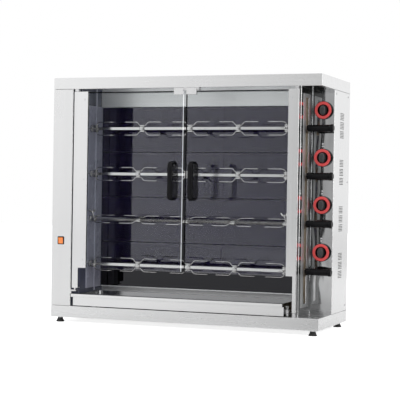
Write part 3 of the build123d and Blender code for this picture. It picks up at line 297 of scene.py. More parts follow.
@dataclass(frozen=True)
class Finish:
    """A finish with its material name and the record's slot that it belongs to."""

    name: str
    slot: Slot

    @lru_cache(maxsize=None)
    def material(self) -> bpy.types.Material:
        """The finish's material, built the first time it is asked for."""
        made = bpy.data.materials.new(self.name)
        made.use_nodes = True
        made.node_tree.nodes.clear()
        tree = Tree(made.node_tree)
        shader = tree.add("ShaderNodeBsdfPrincipled")
        tree.add("ShaderNodeOutputMaterial", {"Surface": shader.outputs["BSDF"]})
        self.paint(tree, shader)
        return made

    def paint(self, tree: Tree, shader: bpy.types.Node) -> None:
        """Sets the shader's sockets.

        Args:
            tree: the material's tree.
            shader: its Principled shader.
        """
        raise NotImplementedError


@dataclass(frozen=True)
class Steel(Finish):
    """Stainless or plated steel: ground or polished, wiped, with edges lightened as wear and as a painted
    highlight.

    heat_from and heat_to give the x between which the steel is tinted by heat, if it is. wave is
    the strength of slow buckles in a thin sheet. Faces that look up get a painted dark reflection,
    whose share of the dark colour grows with the height of the normal over `lying`, to its set top.
    """

    colour: Colour = (0.74, 0.745, 0.75)
    roughness: float = 0.28
    grain: Grain = Grain.NONE
    depth: float = 0.12
    streaks: float = 0.06
    marks: float = 0.05
    shade: float = 0.05
    edge_radius: float = 0.0006
    edge_wear_and_highlight: float = 0.5
    edge_highlight_pale: float = 0.12
    metallic: float = 1.0
    wave: float = 0.0
    buckle: tuple[float, float, float] = (14.0, 14.0, 7.0)
    buckle_deep: float = 3.0 * MM
    painted_top_dark: float = 0.0
    painted_top_colour: Colour = (0.06, 0.055, 0.05)
    lying: tuple[float, float] = (0.4, 0.8)
    heat_from: float | None = None
    heat_to: float = 0.0

    def paint(self, tree: Tree, shader: bpy.types.Node) -> None:
        """Metal whose colour and roughness vary with grain, marks and edges."""
        place = tree.place()
        grain = tree.group(ground_grain(), {"Place": place, "Stretch": self.grain.value})
        marks = tree.group(handling_marks(), {"Place": place, "Scale": 5.0}).outputs["Mask"]
        edges = tree.group(worn_edges(), {"Place": place, "Radius": self.edge_radius})
        streak = grain.outputs["Streak"]
        uneven = tree.sum("MULTIPLY", streak, self.streaks)
        uneven = tree.sum("ADD", uneven, tree.sum("MULTIPLY", marks, self.marks))
        shader.inputs["Metallic"].default_value = self.metallic
        tree.feed(shader.inputs["Roughness"], tree.sum("ADD", uneven, self.roughness))
        colour = tree.mix(streak, rgba(self.colour, 1.0 - self.shade), rgba(self.colour))
        if self.heat_from is not None:
            across = tree.add("ShaderNodeSeparateXYZ", {0: place}).outputs["X"]
            heat = tree.remap(across, (self.heat_from, self.heat_to), (0.0, 1.0))
            colour = tree.group(heat_tint(), {"Place": place, "Heat": heat, "Base": colour}).outputs[0]
        # Painted dark reflection: faces that look up are darkened towards a dark colour.
        if self.painted_top_dark:
            normal = tree.add("ShaderNodeNewGeometry").outputs["Normal"]
            upwards = tree.add("ShaderNodeSeparateXYZ", {0: normal}).outputs["Z"]
            share = tree.remap(upwards, self.lying, (0.0, self.painted_top_dark))
            colour = tree.mix(share, colour, rgba(self.painted_top_colour))
        # Edges lighten towards a paler colour: partly wear, partly a painted highlight standing in for their
        # glints.
        bright = tuple(min(1.0, part + self.edge_highlight_pale) for part in self.colour)
        worn = tree.sum("MULTIPLY", edges.outputs["Mask"], self.edge_wear_and_highlight)
        tree.feed(shader.inputs["Base Color"], tree.mix(worn, colour, rgba(bright)))
        scratches = {"Strength": self.depth, "Distance": 0.0002, "Height": grain.outputs["Height"]}
        bump = tree.add("ShaderNodeBump", scratches | {"Normal": edges.outputs["Normal"]}).outputs[0]
        if self.wave:
            drawn = tree.vector("MULTIPLY", place, self.buckle).outputs[0]
            high = tree.noise(drawn, 1.0, 1.0)
            buckle = {"Strength": self.wave, "Distance": self.buckle_deep, "Height": high}
            bump = tree.add("ShaderNodeBump", buckle | {"Normal": bump}).outputs[0]
        tree.feed(shader.inputs["Normal"], bump)


@dataclass(frozen=True)
class Moulding(Finish):
    """Plastic, rubber, paint or board: a skin with flecks, touched here and there.

    deep_opacity is the opacity for rays that came back through a pane, where it is another one.
    """

    colour: Colour = (0.02, 0.02, 0.021)
    roughness: float = 0.35
    skin: float = 900.0
    depth: float = 0.15
    marks: float = 0.12
    fleck: float = 0.08
    coat: float = 0.0
    glow: float = 0.0
    subsurface: float = 0.0
    edge_radius: float = 0.0005
    reflection: float = 0.5
    opacity: float = 1.0
    deep_opacity: float | None = None

    def paint(self, tree: Tree, shader: bpy.types.Node) -> None:
        """Dielectric whose colour and roughness vary with its skin and marks."""
        place = tree.place()
        skin = tree.group(moulded_skin(), {"Place": place, "Scale": self.skin})
        marks = tree.group(handling_marks(), {"Place": place, "Scale": 14.0}).outputs["Mask"]
        edges = tree.group(worn_edges(), {"Place": place, "Radius": self.edge_radius})
        pale = tuple(part + 0.25 * (0.4 - part) for part in self.colour)
        share = tree.sum("MULTIPLY", skin.outputs["Fleck"], self.fleck)
        share = tree.sum("ADD", share, tree.sum("MULTIPLY", edges.outputs["Mask"], self.fleck))
        tree.feed(shader.inputs["Base Color"], tree.mix(share, rgba(self.colour), rgba(pale)))
        uneven = tree.sum("MULTIPLY", marks, self.marks)
        tree.feed(shader.inputs["Roughness"], tree.sum("ADD", uneven, self.roughness))
        shader.inputs["Specular IOR Level"].default_value = self.reflection
        shader.inputs["Alpha"].default_value = self.opacity
        if self.deep_opacity is not None:
            crossed = tree.add("ShaderNodeLightPath").outputs["Transmission Depth"]
            alpha = tree.remap(crossed, CAME_BACK, (1.0, self.deep_opacity))
            tree.feed(shader.inputs["Alpha"], alpha)
        shader.inputs["Coat Weight"].default_value = self.coat
        shader.inputs["Coat Roughness"].default_value = 0.08
        shader.inputs["Subsurface Weight"].default_value = self.subsurface
        shader.inputs["Subsurface Scale"].default_value = 0.003
        shader.inputs["Emission Color"].default_value = rgba(self.colour)
        shader.inputs["Emission Strength"].default_value = self.glow
        pebbles = {"Strength": self.depth, "Distance": 0.0001, "Height": skin.outputs["Height"]}
        bump = tree.add("ShaderNodeBump", pebbles | {"Normal": edges.outputs["Normal"]})
        tree.feed(shader.inputs["Normal"], bump.outputs[0])


@dataclass(frozen=True)
class CeramicGlass(Finish):
    """Black glass ceramic: a polished face, faintly purple in its depth, wiped in places.

    Through a pane or in a mirror it is a dielectric of `colour`. To a ray straight from the
    camera it is a mirror as weak as `bare`, which keeps the open machine's glass dark.
    """

    colour: Colour = (0.007, 0.0045, 0.024)
    roughness: float = 0.03
    reflection: float = 1.0
    ior: float = 1.58
    bare: Colour = (0.033, 0.033, 0.036)
    tint: Colour = (0.92, 0.90, 1.0)

    def paint(self, tree: Tree, shader: bpy.types.Node) -> None:
        """Dark gloss with a slow change of depth and faint wiping marks."""
        place = tree.place()
        slow = tree.remap(tree.noise(place, 2.3, 2.0), (0.3, 0.7), (0.0, 1.0))
        marks = tree.group(handling_marks(), {"Place": place, "Scale": 2.5}).outputs["Mask"]
        bare = tree.add("ShaderNodeLightPath").outputs["Is Camera Ray"]
        colour = tree.mix(slow, rgba(self.colour, 0.9), rgba(self.colour, 1.15))
        tree.feed(shader.inputs["Base Color"], tree.mix(bare, colour, rgba(self.bare)))
        tree.feed(shader.inputs["Metallic"], bare)
        rough = tree.sum("ADD", tree.sum("MULTIPLY", marks, 0.03), self.roughness)
        tree.feed(shader.inputs["Roughness"], rough)
        shader.inputs["Specular IOR Level"].default_value = self.reflection
        shader.inputs["Specular Tint"].default_value = rgba(self.tint)
        shader.inputs["IOR"].default_value = self.ior


@dataclass(frozen=True)
class ClearGlass(Finish):
    """Toughened glass: clear faces, a ground right edge that glows as a painted highlight, and dark rims.

    The edge is where x lies within `ground` of the pane's right side; the rims are where x or
    z lies within `rim` of its left side or its top. Both fade for rays that crossed a pane.
    """

    left: float = 0.0
    right: float = 1.0
    top: float = 1.0
    rim: float = 0.0042
    rim_tint: Colour = (0.02, 0.02, 0.022)
    tint: Colour = (0.965, 0.985, 0.98)
    ior: float = 1.06
    ground: float = 0.0012
    edge_painted_glow: Colour = (0.55, 0.57, 0.58)

    def paint(self, tree: Tree, shader: bpy.types.Node) -> None:
        """Refracting glass that is rough at its ground edge, where it glows pale as a painted highlight."""
        split = tree.add("ShaderNodeSeparateXYZ", {0: tree.place()}).outputs
        inwards = tree.sum("SUBTRACT", self.right, split["X"])
        reach = (0.8 * self.rim, self.rim)
        beside = tree.remap(tree.sum("SUBTRACT", split["X"], self.left), reach, (1.0, 0.0))
        under = tree.remap(tree.sum("SUBTRACT", self.top, split["Z"]), reach, (1.0, 0.0))
        crossed = tree.add("ShaderNodeLightPath").outputs["Transmission Depth"]
        shallow = tree.remap(crossed, CROSSED_A_PANE, (1.0, 0.0))
        rim = tree.sum("MULTIPLY", tree.sum("MAXIMUM", beside, under), shallow)
        edge = tree.remap(inwards, (0.6 * self.ground, self.ground), (1.0, 0.0))
        edge = tree.sum("MULTIPLY", edge, shallow)
        tree.feed(shader.inputs["Roughness"], tree.sum("MULTIPLY", edge, 0.45))
        # Painted highlight: the ground edge glows, though it is no lamp.
        glow = tree.mix(edge, rgba((0.0, 0.0, 0.0)), rgba(self.edge_painted_glow))
        tree.feed(shader.inputs["Emission Color"], glow)
        shader.inputs["Emission Strength"].default_value = 1.0
        tree.feed(shader.inputs["Base Color"], tree.mix(rim, rgba(self.tint), rgba(self.rim_tint)))
        shader.inputs["Transmission Weight"].default_value = 1.0
        shader.inputs["IOR"].default_value = self.ior


# Surfaces


def unit(vectors: Array) -> Array:
    """Vectors divided by their lengths."""
    return vectors / np.linalg.norm(vectors, axis=-1, keepdims=True)


def turned(profile: Array, centre: Array, axis: Array, steps: int = 40) -> Array:
    """Surface of revolution.

    The point of profile row (s, r) at angle a is centre + s axis + r (cos a side + sin a up),
    where side and up are unit vectors square to the axis and to each other.

    Args:
        profile: rows of distance along the axis and radius.
        centre: where the distance is zero.
        axis: direction of the axis.
        steps: points round the axis.

    Returns:
        Grid of points, one row for each row of the profile.
    """
    along = unit(np.asarray(axis, float))
    helper = np.array((0.0, 0.0, 1.0)) if abs(along[2]) < 0.9 else np.array((1.0, 0.0, 0.0))
    side = unit(np.cross(along, helper))
    up = np.cross(along, side)
    angle = np.linspace(0.0, 2.0 * np.pi, steps, endpoint=False)[:, None]
    spokes = np.cos(angle) * side + np.sin(angle) * up
    rows = np.asarray(profile, float)[:, None, :]
    return np.asarray(centre, float) + rows[:, :, :1] * along + rows[:, :, 1:] * spokes[None]


def swept(path: Array, section: Array, across: Array, size: Array | None = None) -> Array:
    """Section carried along a plane path.

    The point of section row (p, q) at path row c is c + k (p n + q across), where n is
    across x tangent and k is the size there.

    Args:
        path: points of the path, in a plane square to `across`.
        section: rows of offset along n and along `across`.
        across: unit normal of the path's plane.
        size: size of the section at each point of the path, or one everywhere.

    Returns:
        Grid of points, one row for each point of the path.
    """
    across = np.asarray(across, float)
    tangent = unit(np.gradient(path, axis=0))
    normal = np.cross(across, tangent)
    scale = np.ones(len(path)) if size is None else np.asarray(size, float)
    offsets = section[None, :, :1] * normal[:, None, :] + section[None, :, 1:] * across
    return path[:, None, :] + scale[:, None, None] * offsets


def rounded_section(wide: float, deep: float, power: float = 2.0, steps: int = 16) -> Array:
    """Closed superellipse: (w/2 |cos a|^(2/n) sgn cos a, d/2 |sin a|^(2/n) sgn sin a)."""
    angle = np.linspace(0.0, 2.0 * np.pi, steps, endpoint=False)
    ring = np.stack((np.cos(angle), np.sin(angle)), axis=1)
    return np.sign(ring) * np.abs(ring) ** (2.0 / power) * (wide / 2.0, deep / 2.0)


def bent_path(corners: Array, reach: float, steps: int = 7) -> Array:
    """Path through corners, each eased by a quadratic curve.

    A corner c between neighbours a and b becomes (1-t)^2 p + 2 t (1-t) c + t^2 q, where p and
    q lie on its two legs at `reach` from it, or at under half a leg.
    """
    corners = np.asarray(corners, float)
    legs = np.diff(corners, axis=0)
    long = np.linalg.norm(legs, axis=1)
    way = legs / long[:, None]
    back = np.minimum(reach, 0.48 * long[:-1])[:, None] * way[:-1]
    ahead = np.minimum(reach, 0.48 * long[1:])[:, None] * way[1:]
    middle = corners[1:-1]
    t = np.linspace(0.0, 1.0, steps)[None, :, None]
    start, end = (middle - back)[:, None], (middle + ahead)[:, None]
    curves = (1 - t) ** 2 * start + 2 * t * (1 - t) * middle[:, None] + t**2 * end
    return np.concatenate((corners[:1], curves.reshape(-1, corners.shape[1]), corners[-1:]))


def rotated(points: Array, centre: Array, degrees: float) -> Array:
    """Points turned about the line through centre along +X."""
    c, s = math.cos(math.radians(degrees)), math.sin(math.radians(degrees))
    turn = np.array(((1.0, 0.0, 0.0), (0.0, c, -s), (0.0, s, c)))
    return (points - centre) @ turn.T + centre


class Shape:
    """Vertices and faces that add up to one piece."""

    def __init__(self) -> None:
        """Starts an empty shape."""
        self.points: list[Array] = []
        self.faces: list[list[int]] = []
        self.marks: list[int] = []
        self.count = 0

    def surface(self, grid: Array, mark: int = 0, caps: bool = True) -> Shape:
        """Adds a grid of points as quads; each row closes on itself.

        Args:
            grid: rows of points.
            mark: which of the piece's finishes it has.
            caps: whether the first and last rows are closed by a face.

        Returns:
            The shape.
        """
        rows, steps = grid.shape[:2]
        index = np.arange(rows * steps).reshape(rows, steps) + self.count
        ahead = np.roll(index, -1, axis=1)
        quads = np.stack((index[:-1], ahead[:-1], ahead[1:], index[1:]), axis=2)
        made = quads.reshape(-1, 4).tolist()
        if caps:
            made += [index[0, ::-1].tolist(), index[-1].tolist()]
        self.points.append(grid.reshape(-1, 3))
        self.faces += made
        self.marks += [mark] * len(made)
        self.count += rows * steps
        return self

    def moved(self, change: object) -> Shape:
        """Applies a function to all of the shape's points."""
        self.points = [change(np.concatenate(self.points))]
        return self

    def piece(
        self, name: str, body: str, *finishes: Finish, stands_for: tuple[str, ...] = (),
    ) -> bpy.types.Object:
        """Makes the shape an object of the machine.

        Args:
            name: the piece's name.
            body: the body that it rides on.
            finishes: its finishes, in the order of the marks.
            stands_for: CAD nodes that it is shown in place of.

        Returns:
            The new object.
        """
        mesh = bpy.data.meshes.new(name)
        mesh.from_pydata(np.concatenate(self.points).tolist(), [], self.faces)
        for finish in finishes:
            mesh.materials.append(finish.material())
        mesh.polygons.foreach_set("material_index", np.array(self.marks, np.int32))
        work = bmesh.new()
        work.from_mesh(mesh)
        bmesh.ops.remove_doubles(work, verts=work.verts, dist=1e-6)
        bmesh.ops.recalc_face_normals(work, faces=work.faces)
        work.to_mesh(mesh)
        work.free()
        mesh.shade_smooth()
        mesh.set_sharp_from_angle(angle=math.radians(35.0))
        made = bpy.data.objects.new(name, mesh)
        bpy.context.scene.collection.objects.link(made)
        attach(made, body)
        if stands_for:
            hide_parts(*stands_for)
        LOG.info("%s: %d faces on %s", name, len(mesh.polygons), body)
        return made


# The frame


@dataclass(frozen=True)
class Space:
    """Lowest and highest corner of a node, or of one solid of it."""

    low: Array
    high: Array

    @property
    def centre(self) -> Array:
        """Middle of the box."""
        return (self.low + self.high) / 2.0

    @property
    def size(self) -> Array:
        """Lengths of the box's sides."""
        return self.high - self.low


def space(node: str) -> Space:
    """Box of a CAD node."""
    low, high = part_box(node)
    return Space(np.array(low), np.array(high))


def solids(node: str) -> list[Space]:
    """Boxes of the separate solids of a node, from left to right.

    Corners of triangles that lie together are given one number, and numbers spread over each
    triangle until those of one solid are all the same.
    """
    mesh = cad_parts[node].data
    mesh.calc_loop_triangles()
    points = np.empty(len(mesh.vertices) * 3)
    mesh.vertices.foreach_get("co", points)
    points = points.reshape(-1, 3)
    corners = np.empty(len(mesh.loop_triangles) * 3, np.int64)
    mesh.loop_triangles.foreach_get("vertices", corners)
    same = np.unique(np.round(points, 6), axis=0, return_inverse=True)[1].reshape(-1)
    triangles = same[corners.reshape(-1, 3)]
    label = np.arange(same.max() + 1)
    while True:
        least = label[triangles].min(axis=1)
        spread = label.copy()
        np.minimum.at(spread, triangles.ravel(), np.repeat(least, 3))
        spread = spread[spread]
        if np.array_equal(spread, label):
            break
        label = spread
    owner = label[same]
    boxes = [Space(points[owner == one].min(0), points[owner == one].max(0)) for one in np.unique(owner)]
    return sorted(boxes, key=lambda box: (round(box.centre[0], 4), box.centre[2]))


def dress(finish: Finish, *nodes: str) -> None:
    """Gives CAD nodes a finish."""
    for node in nodes:
        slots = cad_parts[node].material_slots
        if not slots:
            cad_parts[node].data.materials.append(None)
        for slot in slots:
            slot.material = finish.material()
        LOG.info("%s: %s", node, finish.name)


# Finishes of this machine

SHEET_LEVEL = Steel("ground_sheet_level", Slot.POLISHED_STEEL, (0.82, 0.822, 0.826), 0.22, Grain.ALONG_X)
SHEET_UPRIGHT = Steel("ground_sheet_upright", Slot.POLISHED_STEEL, (0.80, 0.802, 0.806), 0.22, Grain.ALONG_Z)
STILE_STEEL = Steel("door_steel", Slot.POLISHED_STEEL, (0.80, 0.803, 0.808), 0.16, Grain.ALONG_Z)
FRAME_STEEL = Steel("ground_frame", Slot.BRUSHED_STEEL, (0.70, 0.705, 0.71), 0.34, Grain.ALONG_Z)
# The tray and its front get the painted dark reflection on faces that look up.
TRAY_STEEL = Steel("ground_tray", Slot.BRUSHED_STEEL, (0.30, 0.303, 0.31), 0.10, Grain.ALONG_X, painted_top_dark=0.8)
APRON_STEEL = Steel(
    "ground_apron", Slot.POLISHED_STEEL, (0.84, 0.842, 0.846), 0.10, Grain.ALONG_X, painted_top_dark=0.75,
)
MIRROR = Steel(
    "mirror_sheet", Slot.MIRROR_STEEL, (0.80, 0.805, 0.81), 0.045, Grain.ALONG_Z, depth=0.02, streaks=0.02,
)
REFLECTOR = Moulding("reflector_sheet", Slot.MIRROR_STEEL, (0.42, 0.425, 0.53), 0.25, 400.0, 0.1, coat=0.3)
# Darker copy of the mirror sheet, with buckles, for the recessed knob panel: painted shade of the recess.
SHADED_MIRROR = Steel(
    "recess_mirror", Slot.MIRROR_STEEL, (0.52, 0.525, 0.53), 0.045, Grain.ALONG_Z,
    depth=0.02, streaks=0.02, wave=0.9,
)
CHROME = Steel("polished_bar", Slot.CHROMED_STEEL, (0.72, 0.705, 0.71), 0.12, depth=0.05, marks=0.08)
WIRE = Steel("fork_wire", Slot.CHROMED_STEEL, (0.58, 0.565, 0.57), 0.14, depth=0.05, marks=0.08)
ZINC = Steel("plated_screw", Slot.SCREW_STEEL, (0.72, 0.72, 0.73), 0.22, depth=0.08, marks=0.1)
CHAIN = Steel("oiled_chain", Slot.CHAIN_STEEL, (0.30, 0.29, 0.28), 0.32, depth=0.15, marks=0.2)
SHAFT = Steel("drive_steel", Slot.CHAIN_STEEL, (0.66, 0.65, 0.64), 0.2, depth=0.1, marks=0.1)
BRONZE = Steel("support_bronze", Slot.BRONZE, (0.20, 0.155, 0.11), 0.38, depth=0.15, marks=0.15)
CASTING = Moulding("painted_casting", Slot.CASTING, (0.22, 0.23, 0.24), 0.45, 500.0, 0.4, fleck=0.2)
ENAMEL = Moulding("black_enamel", Slot.ENAMEL, (0.085, 0.092, 0.140), 0.18, 250.0, 0.12, coat=0.5)
SATIN_BLACK = Moulding(
    "satin_black", Slot.BLACK_PLASTIC, (0.005, 0.005, 0.006), 0.2,
    fleck=0.04, reflection=0.14, deep_opacity=0.35,
)
# The grip bar is a lighter grey than the knob's black: partly its own dark grey, partly a painted highlight.
KNOB_GRIP = Moulding("knob_grip", Slot.BLACK_PLASTIC, (0.045, 0.045, 0.047), 0.3, fleck=0.1, reflection=0.5)
# Painted reflection: a dark see-through plate stands for the bow's mirror image in the glass.
HANDLE_REFLECTION = Moulding(
    "painted_handle_reflection", Slot.BLACK_PLASTIC, (0.006, 0.006, 0.007), 0.3, reflection=0.05, opacity=0.82,
)
MATT_BLACK = Moulding(
    "matt_black", Slot.BLACK_PLASTIC, (0.014, 0.014, 0.015), 0.45, 1400.0, 0.3, reflection=0.25,
)
RED = Moulding("red_ring", Slot.RED_PLASTIC, (0.80, 0.075, 0.075), 0.30, 1200.0, 0.08, coat=0.3)
ORANGE = Moulding(
    "orange_rocker", Slot.ORANGE_PLASTIC, (0.87, 0.24, 0.05), 0.2, 1500.0, 0.03,
    coat=0.6, glow=0.15, subsurface=0.3,
)
RUBBER = Moulding("foot_rubber", Slot.RUBBER, (0.018, 0.018, 0.018), 0.6, 800.0, 0.5, fleck=0.25)
BOARD = Moulding("mineral_board", Slot.INSULATION, (0.72, 0.69, 0.62), 0.8, 300.0, 0.6, fleck=0.3)
CERAMIC = CeramicGlass("black_glass_ceramic", Slot.CERAMIC)


# The machine


@dataclass(frozen=True)
class Cabinet:
    """Cap, base, columns and panels, with the feet and the small screws."""

    foot_radius: float = 17.0 * MM
    foot_top: float = 11.0 * MM
    foot_rim: float = 4.0 * MM
    nut_across: float = 10.0 * MM
    nut_tall: float = 5.0 * MM
    stud_radius: float = 5.0 * MM
    stud_tall: float = 17.5 * MM
    head_radius: float = 4.0 * MM
    head_tall: float = 2.0 * MM
    recess_deep: float = 1.3 * MM
    recess_wide: float = 0.55 * MM
    recess_reach: float = 0.7
    knob_panel_reach: float = 100.0 * MM

    def build(self) -> None:
        """Dresses the sheet metal and adds feet and screws."""
        dress(SHEET_LEVEL, "top_cap", "base_tray", "tray_runners")
        dress(SHEET_UPRIGHT, "left_casing", "right_side_panel", "rear_panel")
        dress(MIRROR, "right_inner_wall", "ceiling_panel")
        dress(SHADED_MIRROR, "knob_panel")
        dress(FRAME_STEEL, "slot_frame")
        dress(ZINC, "door_pivots", "door_catch")
        dress(MATT_BLACK, "cable_gland")
        self.feet()
        self.screws()

    def feet(self) -> None:
        """Flared rubber pads, each with a hexagon and a threaded stud.

        A pad has a rim with rounded edges, and over it a hollow cone whose radius falls as
        r + (R - r) (1 - s)^1.4 over the height share s. The stud's radius is r (0.95 + 0.05 cos)
        of 12 turns over its length.
        """
        pads = Shape()
        metal = Shape()
        for foot in solids("feet"):
            x, y = foot.centre[:2]
            tall = foot.size[2] - self.stud_tall
            share = np.linspace(0.0, 1.0, 14)
            neck = self.foot_radius - 1.0 * MM
            cone = self.foot_top + (neck - self.foot_top) * (1.0 - share) ** 1.4
            level = self.foot_rim + share * (tall - self.nut_tall - self.foot_rim)
            rim = np.array(((0.0, 0.9), (0.15, 0.98), (0.35, 1.0), (0.8, 1.0), (1.0, 0.97)))
            side = np.stack((level, cone), axis=1)
            profile = np.concatenate((rim * (self.foot_rim, self.foot_radius), side, side[-1:] * (1.0, 0.8)))
            base = np.array((x, y, foot.low[2]))
            pads.surface(turned(profile, base, (0, 0, 1), 32))
            nut = np.array(((0.0, 0.92), (0.08, 1.0), (0.92, 1.0), (1.0, 0.92)))
            nut = nut * (self.nut_tall, self.nut_across)
            metal.surface(turned(nut, base + (0, 0, tall - self.nut_tall), (0, 0, 1), 6))
            turns = np.linspace(0.0, 1.0, 97)
            thread = self.stud_radius * (0.95 + 0.05 * np.cos(24.0 * np.pi * turns))
            stud = np.stack((turns * self.stud_tall, thread), axis=1)
            metal.surface(turned(stud, base + (0, 0, tall), (0, 0, 1), 16))
        pads.piece("foot_pads", "root", RUBBER, stands_for=("feet",))
        metal.piece("foot_studs", "root", ZINC)

    def head(self, centre: Array, axis: Array) -> Array:
        """Domed screw head with a cross recess, as a grid of rings.

        Height over the panel at radius share s and angle a is t (1 - 0.45 s^4), less the recess
        depth inside a cross of two bars: d exp(-(m / w)^4) (1 - s / e)^0.4, where m is the
        smaller of |x| and |y|, and e is recess_reach.
        """
        share = np.concatenate((np.linspace(0.04, 0.86, 8), (1.0,)))
        angle = np.linspace(0.0, 2.0 * np.pi, 32, endpoint=False)
        x = share[:, None] * np.cos(angle) * self.head_radius
        y = share[:, None] * np.sin(angle) * self.head_radius
        cross = np.exp(-((np.minimum(np.abs(x), np.abs(y)) / self.recess_wide) ** 4))
        cross *= np.clip(1.0 - share[:, None] / self.recess_reach, 0.0, 1.0) ** 0.4
        high = self.head_tall * (1.0 - 0.45 * share[:, None] ** 4) - self.recess_deep * cross
        foot = np.zeros(len(angle))
        along = unit(np.asarray(axis, float))
        side = np.array((0.0, 1.0, 0.0)) if abs(along[0]) > 0.5 else np.array((1.0, 0.0, 0.0))
        up = np.cross(along, side)
        x, y, high = np.vstack((x, x[-1:])), np.vstack((y, y[-1:])), np.vstack((high, foot))
        return centre + x[..., None] * side + y[..., None] * up + high[..., None] * along

    def screws(self) -> None:
        """Pan-head screws of the casing; each is seated where its solid's head meets a panel.

        A screw looks away from the machine's middle. Those of the knob panel lie along y no more
        than knob_panel_reach behind the middle, and look to the front.
        """
        heads = Shape()
        shanks = Shape()
        middle = space("base_tray").centre
        for screw in solids("cabinet_screws"):
            axis = int(np.argmax(screw.size))
            away = np.zeros(3)
            away[axis] = np.sign(screw.centre[axis] - middle[axis])
            if axis == 1 and screw.centre[1] < middle[1] + self.knob_panel_reach:
                away[axis] = -1.0
            outer = screw.centre + away * screw.size[axis] / 2.0
            seat = outer - away * self.head_tall
            heads.surface(self.head(seat, away))
            inner = screw.size[axis] - self.head_tall
            rod = np.array(((0.0, 0.5), (0.8 * inner, 0.5), (inner, 0.2))) * (1.0, self.head_radius)
            shanks.surface(turned(rod, seat, -away, 10))
        heads.piece("screw_heads", "root", ZINC, stands_for=("cabinet_screws",))
        shanks.piece("screw_shanks", "root", ZINC)


@dataclass(frozen=True)
class CookingSpace:
    """Black glass panes with their heaters, the bright sides and the spit supports."""

    dish_wall: float = 6.0 * MM
    tube_radius: float = 5.0 * MM
    tube_half_pitch: float = 38.0 * MM
    tube_bend: float = 30.0 * MM
    tube_proud: float = 2.0 * MM
    tube_inset: float = 40.0 * MM
    dish_least: float = 120.0 * MM
    tint_lead: float = 2.0 * MM
    tint_share: float = 0.6

    def build(self) -> None:
        """Dresses the sheets and adds the heaters."""
        dress(CERAMIC, "ceramic_panels")
        dress(REFLECTOR, "left_reflector_panel")
        dress(ENAMEL, "left_cavity_side")
        border = space("ceramic_panels").high[0]
        end = space("back_frame").high[0]
        tinted = Steel(
            "heated_frame", Slot.MIRROR_STEEL, (0.95, 0.955, 0.97), 0.3, Grain.ALONG_X,
            depth=0.04, metallic=0.4, heat_from=border - self.tint_lead,
            heat_to=border + self.tint_share * (end - border),
        )
        dress(tinted, "back_frame")
        dress(BRONZE, "spit_supports")
        self.heaters()

    def tray_ring(self, middle: Array, half: tuple[float, float], depth: float) -> Array:
        """One ring of a dish: a superellipse of power 12 in a plane of constant y."""
        ring = rounded_section(2.0 * half[0], 2.0 * half[1], 12.0, 48)
        return np.stack((middle[0] + ring[:, 0], np.full(48, depth), middle[2] + ring[:, 1]), axis=1)

    def heaters(self) -> None:
        """Open mineral dishes, each with a hairpin heating tube.

        A dish is a grid of rings: outside from back to front, over the rim and down inside.
        """
        dishes = Shape()
        tubes = Shape()
        boxes = [box for box in solids("heating_elements") if box.size[2] > self.dish_least]
        for box in boxes:
            half = (box.size[0] / 2.0, box.size[2] / 2.0)
            inner = (half[0] - self.dish_wall, half[1] - self.dish_wall)
            front, back = box.low[1], box.high[1]
            rings = [
                self.tray_ring(box.centre, half, back),
                self.tray_ring(box.centre, half, front),
                self.tray_ring(box.centre, inner, front),
                self.tray_ring(box.centre, inner, back - self.dish_wall / 2.0),
            ]
            dishes.surface(np.stack(rings))
            right, left = box.high[0] + self.tube_proud, box.low[0] + self.tube_inset
            y, z = box.centre[1], box.centre[2]
            corners = [
                (right, y, z + self.tube_half_pitch),
                (left, y, z + self.tube_half_pitch),
                (left, y, z - self.tube_half_pitch),
                (right, y, z - self.tube_half_pitch),
            ]
            path = bent_path(np.array(corners), self.tube_bend, 13)
            section = rounded_section(2.0 * self.tube_radius, 2.0 * self.tube_radius)
            tubes.surface(swept(path, section, (0, 1, 0)))
        dishes.piece("heater_dishes", "root", BOARD, stands_for=("heating_elements",))
        tubes.piece("heater_tubes", "root", CHAIN)


